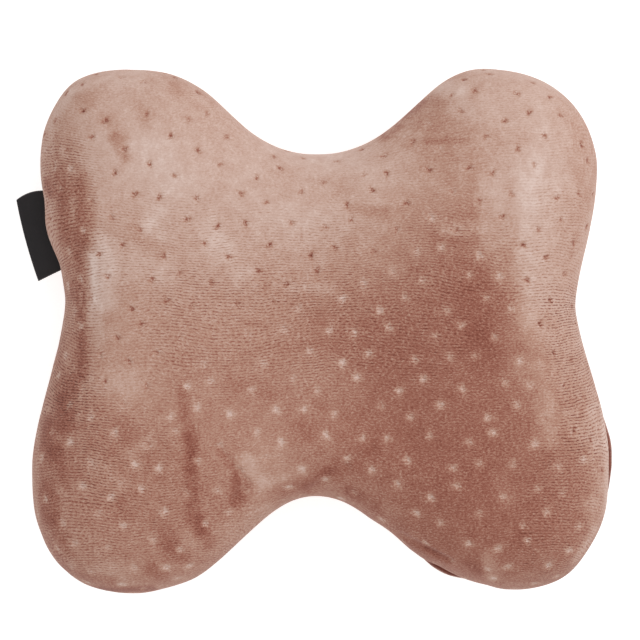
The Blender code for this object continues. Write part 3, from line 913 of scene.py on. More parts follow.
def settle_field():
    start, after = settled(settling_skin())
    moves = after - start
    length = np.linalg.norm(moves, axis=1)
    print(f"settling moved the skin by {length.mean():.1f} mm, at most {length.max():.1f} mm")
    moves *= np.minimum(1, SETTLE_OUT / np.maximum(length, 1e-6))[:, None]
    tree = KDTree(len(start))
    for number, point in enumerate(start):
        tree.insert(point, number)
    tree.balance()
    return tree, moves


def settle(piece, tree, moves):
    points = points_of(piece)
    shift = np.zeros_like(points)
    for number, point in enumerate(points):
        found = tree.find_range(point, 2.2 * SETTLE_BLUR)
        if found:
            weight = np.exp(-(np.array([away for _, _, away in found]) / SETTLE_BLUR) ** 2)
            shift[number] = weight @ moves[[near for _, near, _ in found]] / weight.sum()
    shift[:, :2] *= ease(nearest_edge(points[:, :2])[0] / SETTLE_FREE)[:, None]
    move_points(piece, points + shift)


tree, moves = settle_field()
for piece in (front, back):
    settle(piece, tree, moves)

# %% [markdown]
# ## Brushed marks and painted light
#
# Plush has a nap: its pile leans, and it looks pale where it leans one way and deep red-brown where
# it leans the other. Hands brush it all the time, so the cover is full of soft marks: a pale upper
# left, a pale band down the right side, a dark heart, dark bands beside the left edge, and small
# smears. Here these marks are partly the nap and partly painted light and shade: the broad strokes
# are nap and painted light and shade together, the dark bands beside the left edge are painted
# shadow, the dark strokes along the creases paint their shade, and pale strokes along the right rim
# paint its sheen. Each one is a stroke, given by its two ends and its half width in millimetres,
# with how much paler or darker it makes the pile. Most are soft, a few are crisp, and noise bends
# their edges. They are stored on the points as one number, the nap with its painted light and
# shade, so that the material reads them and they move with the cloth. A few more strokes say where
# the pile is worn enough for the rows of the knit to show.

# %% Nap and painted light
Stroke = namedtuple("Stroke", "start end half change soft")
STEADY_SOFT = 20.0  # a stroke this soft or softer is bent all the way, and a crisp one hardly


def stroke(start_x, start_y, end_x, end_y, half, change, softness=0.85):
    """One mark: its ends and half width in millimetres, and how much of that width is soft edge."""
    return Stroke(np.array([start_x, start_y]), np.array([end_x, end_y]), half, change, softness * half)


BASE_NAP = 0.51
STROKES = [stroke(*row) for row in (
    # broad light and shade
    (-97, 90, -21, 66, 49, 0.25),
    (99, 116, 123, 0, 25, 0.35),
    (4, 76, 39, 51, 31, 0.15),
    (64, 25, 64, -95, 49, -0.25),
    (81, 19, 83, -8, 15, -0.1, 0.4),
    (79, -74, 109, -94, 36.5, -0.1),
    (-101, -55, -52, -95, 41.5, -0.1),
    (-97, 0, -92, -35, 15.5, 0.1),
    (-12, 0, 9, -35, 36.5, -0.1),
    (-61, 20, -42, -5, 26, 0.05),
    # upper left lobe
    (-88, 53, -81, 58, 4, 0.15),
    (-138, 104, -127, 121, 2.5, 0.1),
    (-127, 121, -108, 129, 2, 0.1),
    (-137, 108, -135, 106, 2.5, -0.1),
    (-129, 102, -126, 90, 5, -0.1),
    (-134, 99, -134, 87, 1.5, -0.15),
    (-108, 106, -102, 102, 4, -0.1),
    (-104, 96, -98, 86, 2.5, -0.25),
    (-92, 112, -88, 105, 4, -0.1),
    (-122, 117, -117, 114, 4.5, -0.1),
    (-75, 125, -73, 121, 3, -0.15),
    (-103, 127, -95, 128, 5, 0.1),
    (-86, 90, -75, 73, 10.5, 0.1),
    (-110, 41, -109, 16, 6, 0.3),
    (-113, 11, -112, -8, 3, 0.15),
    (-115, 38, -114, 16, 1.5, 0.2),
    (-97, 33, -84, 30, 8.5, 0.15),
    (-54, 49, -49, 38, 6, 0.15),
    (-24, 22, 4, 21, 2.5, 0.15),
    (-92, 52, -83, 41, 5, -0.1),
    (-103, 98, -98, 96, 2, -0.15),
    (-87, 51, -82, 48, 4, 0.15),
    (-43, 28, -37, 30, 4, 0.15),
    (-28, 22, -22, 22, 3, -0.1),
    # left edge: mostly painted shadow along the edge, with some pale marks of the nap
    (-139, 86, -134, 82, 4, -0.15),
    (-117, 77, -116, 53, 2.5, -0.15),
    (-126, 80, -124, 21, 7.5, -0.1, 0.4),
    (-122, 76, -121, 21, 3, -0.15),
    (-138, 77, -131, 71, 4.5, -0.15),
    (-132, 68, -129, 48, 4, -0.15),
    (-125, 66, -125, 54, 2, 0.15),
    (-121, 16, -120, -22, 2.5, -0.25),
    (-129, -27, -126, -43, 6, -0.2),
    (-138, -48, -136, -61, 4.5, -0.3),
    (-133, -62, -132, -73, 4.5, -0.25),
    (-138, -80, -137, -94, 4.5, -0.25),
    (-135, -98, -131, -111, 5, -0.15),
    (-133, 0, -133, -17, 2, -0.1),
    (-116, 47, -115, 42, 3, -0.1),
    (-140, 75, -138, 69, 2.5, -0.35),
    (-123, -24, -122, -28, 3, -0.2),
    (-127, 77, -125, 46, 8, -0.15, 0.4),
    (-126, 63, -125, 58, 1, 0.1),
    (-124, 80, -123, 78, 1, 0.25),
    (-122, 19, -122, 13, 1, 0.3),
    (-127, 25, -127, 16, 1, -0.15),
    (-132, -34, -130, -49, 3.5, -0.2),
    (-141, -50, -142, -104, 2, -0.1),
    (-140, -106, -130, -122, 2, -0.1),
    (-124, 38, -123, -22, 2, -0.1),
    (-118, 38, -117, 5, 2.5, 0.15),
    (-134, -52, -133, -80, 2, 0.15),
    (-122, -34, -122, -45, 2, 0.2),
    # upper right lobe
    (39, 81, 64, 73, 13.5, 0.1),
    (84, 71, 86, 47, 7.5, 0.15, 0.4),
    (-19, 76, 6, 71, 10.5, -0.15),
    (119, -10, 128, -15, 7.5, -0.1),
    (31, 99, 37, 104, 3, -0.3),
    (42, 111, 49, 117, 3, -0.3),
    (51, 95, 72, 95, 1.5, -0.15),
    (67, 111, 72, 112, 3.5, 0.15),
    (60, 124, 69, 121, 4.5, 0.25),
    (102, 85, 103, 0, 6.5, 0.15),
    (129, 80, 133, 67, 4, -0.1),
    (125, 58, 125, 0, 6, -0.1),
    (61, 51, 78, 51, 3.5, 0.2),
    (15, 61, 31, 60, 2.5, -0.15),
    (79, 41, 89, 28, 5, 0.1),
    (112, 6, 115, 4, 4, -0.1),
    (100, 96, 102, 78, 3, -0.1),
    (97, 122, 98, 96, 10.5, -0.1),
    (35, 102, 48, 99, 2.5, 0.1),
    # lower left lobe: its dark strokes along the creases are painted shade
    (-116, -25, -97, -27, 7.5, 0.15),
    (-100, -49, -95, -53, 4.5, -0.1),
    (-96, -61, -86, -55, 2.5, 0.15),
    (-112, -68, -102, -77, 5.5, 0.1),
    (-66, -49, -66, -68, 3, -0.2),
    (-67, -53, -66, -62, 2, -0.2),
    (-67, -69, -66, -85, 2.5, -0.2),
    (-65, -89, -62, -99, 3.5, -0.2),
    (-70, -27, -69, -43, 2.5, -0.2),
    (-82, -98, -75, -105, 4, -0.1),
    (-78, -109, -72, -113, 4, -0.2),
    (-68, -103, -65, -109, 3, 0.1),
    (-60, -96, -57, -108, 3, -0.2),
    (-55, -108, -31, -91, 6, 0.15),
    (-53, -57, -43, -72, 2, -0.1),
    (-42, -74, -43, -86, 3, -0.3),
    (-38, -66, -30, -76, 4, 0.25),
    (-30, -60, -19, -70, 7.5, 0.1),
    (-46, -27, -27, -31, 4.5, -0.1),
    (-111, -120, -101, -121, 4, 0.15),
    (-87, -120, -82, -124, 3.5, -0.2),
    (-119, -133, -87, -131, 2, -0.4),
    (-131, -120, -123, -124, 3, -0.15),
    (-118, -125, -108, -127, 4, -0.15),
    (-101, -85, -100, -90, 4, -0.1),
    (-63, -55, -63, -85, 1.5, -0.15),
    # between the lower lobes: its dark strokes along the crease are painted shade
    (6, -70, 23, -60, 6.5, -0.1),
    (-20, -81, -12, -78, 3.5, -0.15),
    (-30, -81, -19, -74, 3, 0.1),
    (-8, -79, 3, -71, 3, -0.25),
    (-6, -20, 14, -27, 9.5, 0.1),
    (20, -85, 28, -90, 2.5, -0.1),
    (31, -89, 38, -92, 2.5, 0.1),
    (14, -81, 17, -83, 3, -0.25),
    (-12, -49, -8, -52, 3.5, -0.15),
    # lower right lobe: the pale strokes along its right rim are painted sheen, and the dark ones along its
    # crease painted shade
    (137, -32, 141, -56, 4.5, 0.15),
    (134, -87, 139, -95, 4, 0.15),
    (47, -109, 55, -116, 2.5, -0.1),
    (79, 0, 84, -9, 6, -0.1),
    (102, -2, 103, -9, 6, -0.15),
    (112, -36, 113, -53, 5, 0.2),
    (83, -114, 86, -123, 3.5, 0.2),
    (75, -117, 80, -121, 3, -0.15),
    (135, -40, 140, -86, 3.5, 0.15),
    (128, -116, 138, -101, 2.5, 0.25),
    (52, -110, 64, -116, 1.5, -0.25),
    (99, -99, 102, -105, 3, -0.15),
    (124, -44, 129, -52, 5, 0.2),
    (89, -74, 94, -85, 4, 0.1),
    (145, -38, 146, -97, 3, 0.3),
)]
BASE_KNIT = 0.22
KNIT_STROKES = [stroke(*row) for row in (
    (-133, 82, -130, -26, 17, 0.85, 0.55),
    (124, 6, 137, -50, 15, 0.95, 0.55),
    (118, 60, 122, 20, 14, 0.3, 0.55),
    (-94, 42, 4, 36, 26, 0.35, 0.55),
    (-131, -46, -118, -109, 24, 0.6, 0.55),
    (-100, -60, -60, -100, 24, 0.4, 0.55),
    (123, -72, 118, -112, 20, 0.6, 0.55),
    (-63, 0, 50, 0, 26, 0.5, 0.55),
    (60, 40, 95, 25, 20, 0.4, 0.55),
    (-90, 93, -22, 73, 26, -0.2, 0.55),
)]


def stroke_shape(points, mark, bend):
    """How much of a mark each point gets, from 0 to 1."""
    run = mark.end - mark.start
    off = points[:, :2] + bend * min(1, mark.soft / STEADY_SOFT) - mark.start
    part = np.clip(off @ run / (run @ run), 0, 1)
    away = np.linalg.norm(off - part[:, None] * run, axis=1)
    return 1 - ease((away - mark.half + mark.soft) / (2 * mark.soft))


def edge_bend(points, size, reach, *seeds):
    """A sideways way for each point, which bends the marks' edges."""
    return reach * np.column_stack([soft_noise(points, size, seed) for seed in seeds])


def stroked(points, base, marks, bend):
    """The base number, changed at each point by the marks that reach it."""
    number = np.full(len(points), base)
    for mark in marks:
        number += mark.change * stroke_shape(points, mark, bend)
    return number


# %% [markdown]
# ## The lie of the knit
#
# Plush is knitted in rows 1.45 mm apart, and the rows show as fine lines where the pile is thin.
# They run straight across the flat cloth, and bow when it is pulled over a round form. So each
# point gets its place on the flat cloth: its plan place, pushed outwards by how much longer the way
# over the shoulder is than the way seen from above, plus a slow wander. Over the left and right
# sides the cloth hangs, so its rows sag there instead.

# %% Cloth places
ROW_BOW = 2.4  # how much the rows sag over the sides, against the way over the shoulder
ROW_WANDER, ROW_WANDER_SIZE = 5.5, 60.0
ROW_RIPPLE, ROW_RIPPLE_SIZE = 1.2, 14.0
SIDE_TURN, SIDE_EASE = 0.55, 0.4  # how far the way out may turn up or down and still be a side


def extra_arc(panel):
    """For insets from 0 to the crown: how much longer the way over the shoulder is than its plan."""
    steps = shoulder_steps(panel, panel.round_in * 0.999, 300)
    left = 1 - steps / panel.round_in
    rise = panel.rise * (1 - left**ROUND_POWER) ** (1 / ROUND_POWER)
    arc = np.concatenate([[0], np.cumsum(np.hypot(np.diff(steps), np.diff(rise)))])
    return steps, (arc[-1] - arc) - (steps[-1] - steps)


def cloth_places(panel, points):
    insets, out = nearest_edge(points[:, :2])
    extra = np.interp(insets, *extra_arc(panel))
    below = np.maximum(0, panel.side * (panel.widest - points[:, 2]))
    flat = points[:, :2] + out * (extra + below)[:, None]
    beside = 1 - ease((np.abs(out[:, 1]) - SIDE_TURN) / SIDE_EASE)
    flat[:, 1] -= ROW_BOW * beside * out[:, 1] * extra
    flat[:, 1] += ROW_WANDER * soft_noise(points, ROW_WANDER_SIZE, 11)
    flat[:, 1] += ROW_RIPPLE * soft_noise(points, ROW_RIPPLE_SIZE, 12)
    return flat, insets


# %% [markdown]
# ## Relief
#
# Now the fine panels get what the cloth leaves out: slow dents in the foam, the soft creases near
# the lower notch, puckers beside the seam, and the pin dots. Each one pushes the points along
# their own normals, so it follows the round form. No two pits are quite the same shape or depth. The
# ring of pile that a pit draws in is wider than the pit, so its reach is kept as a second number.

# %% Relief
DENT_SIZE, DENT_DEPTH = 42.0, 0.7
RIPPLE_SIZE, RIPPLE_DEPTH = 13.0, 0.16
PUCKER_SIZE, PUCKER_DEPTH, PUCKER_REACH, PUCKER_INSET = 8.0, 0.55, 7.0, 6.0
FLAT_BORDER, FLAT_HEIGHT = 8.0, 6.0  # the relief fades in this far from the valley and the floor
PIT_DEPTH, PIT_RADIUS, PIT_ARMS, PIT_STRETCH = 1.0, 1.35, 0.2, 0.22
PIT_FORCE, PIT_UNEVEN = 0.78, 0.22  # how hard the pin has pressed, and how much that varies
TUFT_RADIUS = 2.1
DOT_CROWDING, DOT_NEAR = 9.0, 1.0
# the rim band is painted sheen: paler and greyer pile along the outline, near the widest height, where it
# is seen from above
RIM_REACH, RIM_HEIGHT = 2.0, 9.0
SEAM_SHADE_REACH = 4.0
FOLD_SHADE, FOLD_HEIGHT = 0.75, 24.0  # the back panel is in shade where it stands out past the front
CREASES = [stroke(*row) for row in (
    (-52, -58, -42, -71, 1.4, -0.8),
    (-42, -71, -38, -77, 1.5, -1),
    (-38, -77, -43, -85, 1.8, -1.3),
    (-6, -81, 12, -68, 1.6, -0.9),
    (12, -68, 25, -59, 1.5, -0.6),
    (25, -59, 48, -51, 1.8, -0.4),
    (-65, -48, -66, -68, 2.2, -0.5),
    (40, -104, 64, -116, 1.4, -1.1),
    (12, 61, 32, 60, 1.8, -0.2),
)]


def tree_of(places):
    tree = KDTree(len(places))
    for number, place in enumerate(places):
        tree.insert((place[0], place[1], 0), number)
    tree.balance()
    return tree


def dots_on(points, flat, insets, lining):
    """Where the dots lie on the settled panel: the middle's own, and those over the shoulder."""
    face = np.flatnonzero(~lining & (points[:, 2] > SEAM_HEIGHT + 3))
    seen_from_above = tree_of(points[face])
    found = [points[face[seen_from_above.find((x, y, 0))[1]]] for x, y in DOTS]
    shoulder = face[insets[face] < DOT_MARGIN]
    on_cloth, middle = tree_of(flat[shoulder]), tree_of(DOTS)
    for x, y in dot_pattern():
        _, number, away = on_cloth.find((x, y, 0))
        place = points[shoulder[number]]
        if away < DOT_NEAR and middle.find((place[0], place[1], 0))[2] > DOT_CROWDING:
            found.append(place)
    return np.array(found)


def pits(points, dots):
    """How deep each point lies in a pin dot, and how near its middle it is, both from 0 to 1."""
    near = KDTree(len(dots))
    for number, place in enumerate(dots):
        near.insert(place, number)
    near.balance()
    deep, tuft = np.zeros(len(points)), np.zeros(len(points))
    for number, point in enumerate(points):
        place, dot, away = near.find(point)
        if away < 3 * TUFT_RADIUS:
            turn = math.atan2(point[1] - place.y, point[0] - place.x) + 2.4 * dot
            force = PIT_FORCE + PIT_UNEVEN * math.sin(5.3 * dot)
            shape = 1 + PIT_ARMS * math.cos(3 * turn + dot) + PIT_STRETCH * math.cos(2 * turn)
            deep[number] = force * math.exp(-((away / (PIT_RADIUS * shape)) ** 2))
            tuft[number] = force * math.exp(-((away / (TUFT_RADIUS * (0.6 + 0.4 * shape))) ** 2))
    return deep, tuft


def relief(piece, panel):
    points, normals = points_of(piece), normals_of(piece)
    flat, insets = cloth_places(panel, points)
    insets = insets + spill_at(panel, points[:, :2])
    out = DENT_DEPTH * soft_noise(points, DENT_SIZE, 21)
    out += RIPPLE_DEPTH * soft_noise(points, RIPPLE_SIZE, 22)
    near_seam = bell((points[:, 2] - SEAM_HEIGHT) / PUCKER_REACH) * (insets < PUCKER_INSET)
    out += PUCKER_DEPTH * near_seam * soft_noise(points * (1, 1, 0.3), PUCKER_SIZE, 23)
    if panel is FRONT:
        for crease in CREASES:
            out += crease.change * stroke_shape(points, crease, np.zeros(2))
    lining = under_face(panel, points, insets)
    out[lining] = 0
    shade = bell((points[:, 2] - SEAM_HEIGHT) / SEAM_SHADE_REACH) * (insets < SEAM_PINCH + 1)
    if panel is BACK:
        beside = bell(np.linalg.norm(points[:, :2] - SPILLS[0].place, axis=1) / SPILLS[0].reach)
        shade = np.maximum(shade, FOLD_SHADE * beside * ease(points[:, 2] / FOLD_HEIGHT - 1))
        off_valley = off_zip(points) - VALLEY_FLOOR - VALLEY_SIDE
        out *= ease(off_valley / FLAT_BORDER) * ease(points[:, 2] / FLAT_HEIGHT)
    paint_points(piece, "seam", shade)
    paint_points(piece, "across", flat[:, 0])
    paint_points(piece, "down", -flat[:, 1])
    # painted sheen along the outline, kept near the widest height
    at_widest = bell((points[:, 2] - panel.widest) / RIM_HEIGHT)
    paint_points(piece, "rim", bell(insets / RIM_REACH) * at_widest)
    if panel is FRONT:
        dots = dots_on(points, flat, insets, lining)
        print(len(dots), "pin dots with those over the shoulder")
        deep, tuft = pits(points, dots)
        out -= PIT_DEPTH * deep * ~lining
        paint_points(piece, "pit", deep)
        paint_points(piece, "tuft", tuft)
        # the nap number carries the strokes' painted light and shade along with the nap itself
        bend = edge_bend(points, 11, 4, 1, 3) + edge_bend(points, 5, 2, 2, 4)
        paint_points(piece, "nap_and_painted_light", stroked(points, BASE_NAP, STROKES, bend))
        bend = edge_bend(points, 15, 6, 5, 7)
        paint_points(piece, "knit", stroked(points, BASE_KNIT, KNIT_STROKES, bend))
    move_points(piece, points + normals * out[:, None])


def under_face(panel, points, insets):
    """Marks the lining and the hem, which lie under the panel's face."""
    face = surface_height(panel, points, insets)
    under = panel.side * (face - points[:, 2]) > 0.8 * COVER_THICKNESS
    return under & (insets > SEAM_PINCH + 1)


relief(front, FRONT)
relief(back, BACK)

# %% [markdown]
# ## The plush
#
# The colour of plush is mostly how its pile leans, so one number drives it: the nap, which also
# holds the painted light and shade of the brushed marks. Cloudy noise and the pile's own grain move
# it a little from place to place, the knit rows darken it in thin broken lines where the pile lies
# dark, and a ramp of six pinks turns it into a colour. A pin dot is a small dark point where the
# pile around is pale, and a wider pale tuft where the pile around is dark, because it leans every
# way at once there. Along the rim a paler grey is painted in as sheen, where the pile is seen from
# its side. Down in the seam, where the two panels meet, shade is painted in. The shader's sheen
# does the rest: fine fibres light up where they are seen from the side.

# %% Plush
ROW_PITCH = 1.45
DEEP, RED_BROWN, ROSE = srgb(138, 82, 68), srgb(157, 104, 88), srgb(181, 140, 122)
PALE, FROSTED = srgb(204, 174, 161), srgb(218, 194, 184)
# the grey of the painted sheen along the rim
RIM_SHEEN_GREY = srgb(203, 186, 176)
DARKEST_NAP = -0.3
PATCHES, FLECKS, KNIT_LINE, NAP_LIFT = 0.46, 0.12, 0.62, 0.03
GRAIN, GRAIN_FADE = 2.45, 2.25  # the grain is strong where the pile lies dark
TUFT, TUFT_FADE, PALE_TUFT, PIT_SHADE = 0.76, 0.5, 0.16, 0.95
# how much painted sheen the rim gets, and how much painted shade the seam gets
RIM_SHEEN_LIFT, RIM_SHEEN_SHARE, SEAM_SHADE = 0.08, 0.4, 0.75
PINKS = (
    (DARKEST_NAP, srgb(112, 61, 49)),
    (0.0, DEEP),
    (0.26, RED_BROWN),
    (0.55, ROSE),
    (0.85, PALE),
    (1.0, FROSTED),
)


def plush(name, dotted):
    finish = Finish(name, Roughness=0.92, Sheen_Weight=0.15, Sheen_Roughness=0.45, Specular_IOR_Level=0.15)
    finish.shader.inputs["Sheen Tint"].default_value = (1.0, 0.9, 0.86, 1.0)
    place = finish.where()
    across, down = finish.painted("across"), finish.painted("down")
    nap_and_painted_light = finish.painted("nap_and_painted_light") if dotted else finish.cloud(place, 38.0, 3.0) * 0.5 + 0.3
    knit = finish.painted("knit") if dotted else finish.cloud(place, 26.0, 2.0)
    lean_and_painted_light = nap_and_painted_light
    patches = finish.cloud(place, 6.0, 4.0, 0.7) - 0.5
    grain = finish.cloud(finish.joined(across * 0.6, down * 1.1), 0.85, 3.0, 0.8) - 0.5
    flecks = finish.cloud(finish.joined(across, down * 1.3), 0.8, 1.0).step(0.58, 0.72)
    bent = finish.cloud(place, 7.0) * 0.7 + finish.cloud(place, 2.0) * 0.45
    rows = ((down / ROW_PITCH + bent) * 2 * math.pi).sine()
    dashes = finish.cloud(finish.joined(across * 0.55, down * 1.2), 0.9, 2.0) - 0.4
    line = rows.step(-0.1, 1.0) * (dashes * 4.0).within() * knit
    nap_and_painted_light = nap_and_painted_light + patches * PATCHES + grain * (GRAIN - lean_and_painted_light * GRAIN_FADE)
    nap_and_painted_light = nap_and_painted_light + flecks * (1 - lean_and_painted_light) * FLECKS - line * KNIT_LINE + NAP_LIFT
    if dotted:
        pit, tuft = finish.painted("pit"), finish.painted("tuft")
        pale = lean_and_painted_light.step(0.42, 0.66)
        broken = (finish.cloud(place, 0.9, 2.0) * 3.2 - 0.9).within()
        fuzz = finish.cloud(place, 0.8, 2.0) * 0.9 + 0.5
        nap_and_painted_light = nap_and_painted_light + tuft * fuzz * (1 - pale) * (TUFT - lean_and_painted_light * TUFT_FADE)
        nap_and_painted_light = nap_and_painted_light - pit * broken * pale * PIT_SHADE + tuft * (1 - broken) * pale * PALE_TUFT
    # painted sheen along the rim, and painted shade in the seam
    nap_and_painted_light = nap_and_painted_light + finish.painted("rim") * RIM_SHEEN_LIFT - finish.painted("seam") * SEAM_SHADE
    finish.relief(grain * 0.5 + line * -0.6, 0.35, 0.8)
    span = 1 - DARKEST_NAP
    stops = [((at - DARKEST_NAP) / span, pink) for at, pink in PINKS]
    pinks = finish.ramp((nap_and_painted_light - DARKEST_NAP) / span, stops)
    # the rim's painted sheen also turns the pile greyer
    return finish.color(finish.mix(finish.painted("rim") * RIM_SHEEN_SHARE, pinks, RIM_SHEEN_GREY))


def dress(piece, material):
    piece.data.materials.clear()
    piece.data.materials.append(material)


dress(front, plush("dotted_plush", True))
dress(back, plush("plain_plush", False))
for piece, node in ((front, "cover_front"), (back, "cover_back")):
    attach(piece, "pillow")
    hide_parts(node)

# %% [markdown]
# ## The tab's finish
#
# The ribbon is a dense black twill. Its diagonal lines are finer than the photograph can show, but
# they break up the light, so the black isn't flat. Its selvedges, where the weft turns back, are a
# little paler and catch the light as a thin line along the lower edge.

# %% Ribbon finish
TWILL_PITCH = 0.62


def twill():
    looks = {"Roughness": 0.62, "Sheen_Weight": 0.1, "Sheen_Roughness": 0.4, "Specular_IOR_Level": 0.3}
    finish = Finish("black_twill", **looks)
    run, wide = finish.painted("run"), finish.painted("wide")
    diagonal = ((run + wide * 0.8) * (2 * math.pi / TWILL_PITCH)).sine()
    threads = (wide * (2 * math.pi / 0.3)).sine()
    lint = finish.cloud(finish.where(), 1.4, 3.0, 0.7) - 0.5
    handled = finish.cloud(finish.where(), 9.0) - 0.5
    selvedge = wide.absolute().step(TAB_HALF - 0.75, TAB_HALF - 0.25)
    weft = ((run * (2 * math.pi / 0.5)).sine() * 0.25 + 0.6) * selvedge
    shade = diagonal * 0.07 + threads * 0.03 + lint * 0.22 + handled * 0.15 + weft * 0.55 + 0.3
    finish.relief(diagonal * 0.6 + threads * 0.3 + weft, 0.07)
    shades = ((0.0, srgb(24, 22, 24)), (0.4, srgb(38, 35, 37)), (1.0, srgb(112, 106, 108)))
    return finish.color(finish.ramp(shade, shades))


dress(tab, twill())
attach(tab, "pillow")
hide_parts("side_tab")

# %% [markdown]
# ## The zip
#
# The tapes, the teeth, the slider and its pull are rigid or nearly so, and the solids already have
# their true shape. They keep their meshes. What they get is soft edges, because nothing moulded or
# stamped has a knife edge, and finishes of their own. The soft edges come from two modifiers: the
# first joins the points that the file format split, and the second rounds what is sharp.

# %% Soft edges
EDGES = {"zip_tape": 0.12, "zip_coil": 0.35, "zip_stop": 0.35, "zip_slider": 0.25, "zip_pull": 0.28}


def soften(obj, width):
    weld = obj.modifiers.new("joined", "WELD")
    weld.merge_threshold = 0.002 * MM
    bevel = obj.modifiers.new("soft_edges", "BEVEL")
    bevel.width = width * MM
    bevel.segments = 3
    bevel.limit_method = "ANGLE"
    bevel.angle_limit = math.radians(35)
    bevel.harden_normals = True


zip_nodes = {name: obj for name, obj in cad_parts.items() if name.startswith("zip_")}
for name, obj in zip_nodes.items():
    soften(obj, next(width for start, width in EDGES.items() if name.startswith(start)))
print("soft edges on", ", ".join(sorted(zip_nodes)))

# %% [markdown]
# ## Finishes for the zip and the foam
#
# The tape is a herringbone: its diagonal turns back every 1.6 mm. The teeth are moulded nylon, with
# the faint cloudiness of dyed plastic, and paler where the slider rubs them. The slider, the pull
# and the stops are nickel plate with a fine grain along their length and handling marks. The foam
# is full of small cells. It lies inside the cover, where nobody sees it, but a part that is cut open
# or taken apart should still show what it is made of.

# %% Zip and foam finishes
HERRING = 1.6


def herringbone():
    finish = Finish("herringbone_tape", Roughness=0.85, Sheen_Weight=0.15, Specular_IOR_Level=0.2)
    place = finish.where()
    x, y, _ = finish.split(place)
    turned = x.maths("PINGPONG", x, HERRING)
    weave = ((y + turned) * (2 * math.pi / 0.55)).sine()
    warp = (x * (2 * math.pi / 0.4)).sine()
    fade = finish.cloud(place, 6.0, 3.0) - 0.5
    shade = weave * 0.16 + warp * 0.08 + fade * 0.35 + 0.5
    finish.relief(weave + warp * 0.4, 0.1)
    shades = ((0.0, srgb(112, 68, 58)), (0.5, srgb(150, 104, 92)), (1.0, srgb(182, 142, 130)))
    return finish.color(finish.ramp(shade, shades))


def nylon():
    finish = Finish("moulded_nylon", Specular_IOR_Level=0.45)
    place = finish.where()
    _, y, _ = finish.split(place)
    rubbed = 1 - (y - ZIP_UP).absolute().step(0.4, 1.6)
    cloudy = finish.cloud(place, 2.4, 3.0) - 0.5
    shade = cloudy * 0.5 + rubbed * 0.3 + 0.35
    finish.feed(finish.shader.inputs["Roughness"], 0.5 - rubbed * 0.16 + cloudy * 0.2)
    finish.relief(finish.cloud(place, 0.5, 3.0), 0.03)
    shades = ((0.0, srgb(128, 80, 70)), (0.5, srgb(158, 112, 100)), (1.0, srgb(192, 152, 140)))
    return finish.color(finish.ramp(shade, shades))


def nickel():
    finish = Finish("nickel_plate", Metallic=1.0)
    place = finish.where()
    x, y, z = finish.split(place)
    grain = finish.cloud(finish.joined(x * 0.12, y, z), 0.22, 3.0, 0.7) - 0.5
    handled = finish.cloud(place, 3.2, 4.0, 0.6)
    scratch = finish.cloud(finish.joined(x + y * 0.6, y * 0.05, z), 0.12, 1.0).step(0.7, 0.78)
    finish.feed(finish.shader.inputs["Roughness"], handled * 0.2 + grain * 0.16 + scratch * 0.12 + 0.2)
    finish.relief(grain + scratch * -0.8, 0.02)
    shades = ((0.2, srgb(168, 164, 158)), (0.8, srgb(214, 211, 206)))
    return finish.color(finish.ramp(handled + grain * 0.3, shades))


def open_foam():
    finish = Finish("open_cell_foam", Roughness=0.95, Specular_IOR_Level=0.15)
    place = finish.where()
    made = finish.node("ShaderNodeTexVoronoi", None, Vector=place, Scale=1 / 1.1)
    cells = finish.tone(made, "Distance").within()
    yellowed = finish.cloud(place, 30.0, 3.0) - 0.5
    finish.relief(cells, 0.35)
    shades = ((0.0, srgb(206, 192, 158)), (0.6, srgb(236, 226, 200)), (1.0, srgb(246, 239, 220)))
    return finish.color(finish.ramp(cells * 0.7 + yellowed * 0.5 + 0.25, shades))


ZIP_FINISHES = {
    "zip_tape": herringbone(),
    "zip_coil": nylon(),
    "zip_stop": nickel(),
    "foam_core": open_foam(),
}
ZIP_FINISHES.update(zip_slider=ZIP_FINISHES["zip_stop"], zip_pull=ZIP_FINISHES["zip_stop"])
for name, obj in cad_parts.items():
    for start, material in ZIP_FINISHES.items():
        if name.startswith(start):
            for slot in obj.material_slots:
                slot.material = material

# %% [markdown]
# ## Stitches along the zip
#
# The tapes are sewn under the edge of the slot with a lockstitch. Each stitch is a short length of
# two-ply thread: both ends dive into the cloth and the middle stands a little proud. They are
# spaced evenly round the slot, 1.6 mm out from its edge.

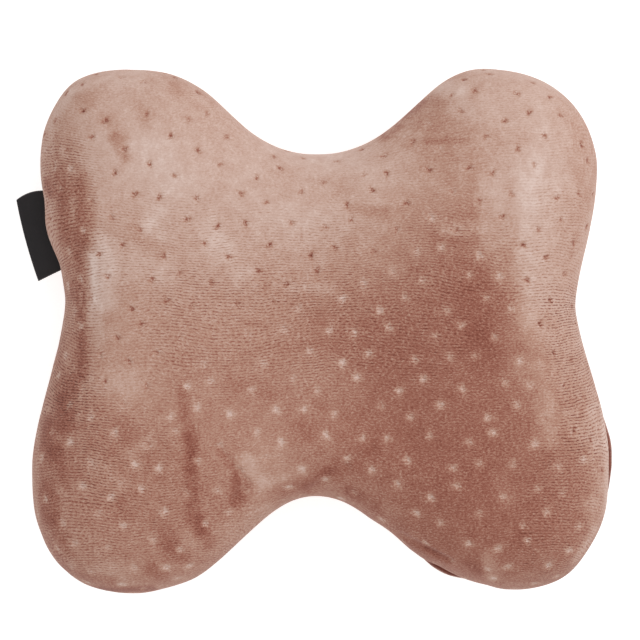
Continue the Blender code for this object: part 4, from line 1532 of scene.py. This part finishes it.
# %% Stitches
STITCH_PITCH, STITCH_LENGTH = 3.0, 2.5
STITCH_OUT = 1.6
STITCH_SUNK, STITCH_DIVE = 0.16, 0.55
THREAD_RADIUS = 0.26
PLY_LOBES, PLY_TWIST, PLY_TAPER = 0.12, 2.6, 0.45
STITCH_SIDES, STITCH_STEPS = 8, 9


def stitch(skin, middle, way):
    """One stitch, lying on the floor of the zip's valley."""
    aside = np.array([-way[1], way[0]])
    rings = []
    for share in np.linspace(-1, 1, STITCH_STEPS):
        flat = middle + way * share * STITCH_LENGTH / 2
        depth = VALLEY_DEPTH - STITCH_SUNK + STITCH_DIVE * share**4
        turns = 2 * math.pi * np.arange(STITCH_SIDES) / STITCH_SIDES
        ply = THREAD_RADIUS * (1 + PLY_LOBES * np.cos(2 * (turns + share * PLY_TWIST)))
        ply = ply * (1 - PLY_TAPER * abs(share) ** 6)
        plan = flat + np.outer(ply * np.cos(turns), aside)
        rings.append(skin.add(np.column_stack([plan, depth + ply * np.sin(turns)])))
    skin.bands(rings)
    skin.faces += [rings[0].tolist(), rings[-1].tolist()]


def zip_stitches():
    skin = Skin()
    loop = zip_loop(SLOT_REACH, SLOT_HALF + STITCH_OUT, 24)
    length = np.linalg.norm(np.roll(loop, -1, axis=0) - loop, axis=1).sum()
    places, inward = spaced(loop, int(length / STITCH_PITCH))
    for middle, side in zip(places, inward):
        stitch(skin, middle, np.array([side[1], -side[0]]))
    piece = skin.make("zip_stitches")
    print(len(places), "stitches")
    return piece


def thread():
    finish = Finish("sewing_thread", Roughness=0.6, Sheen_Weight=0.1)
    place = finish.where()
    x, y, _ = finish.split(place)
    twist = ((x + y) * (2 * math.pi / 0.5)).sine()
    fleck = finish.cloud(place, 0.6, 2.0) - 0.5
    finish.relief(twist, 0.05)
    shades = ((0.0, srgb(140, 88, 76)), (1.0, srgb(192, 148, 134)))
    return finish.color(finish.ramp(twist * 0.2 + fleck * 0.5 + 0.5, shades))


stitches = zip_stitches()
dress(stitches, thread())
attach(stitches, "pillow")
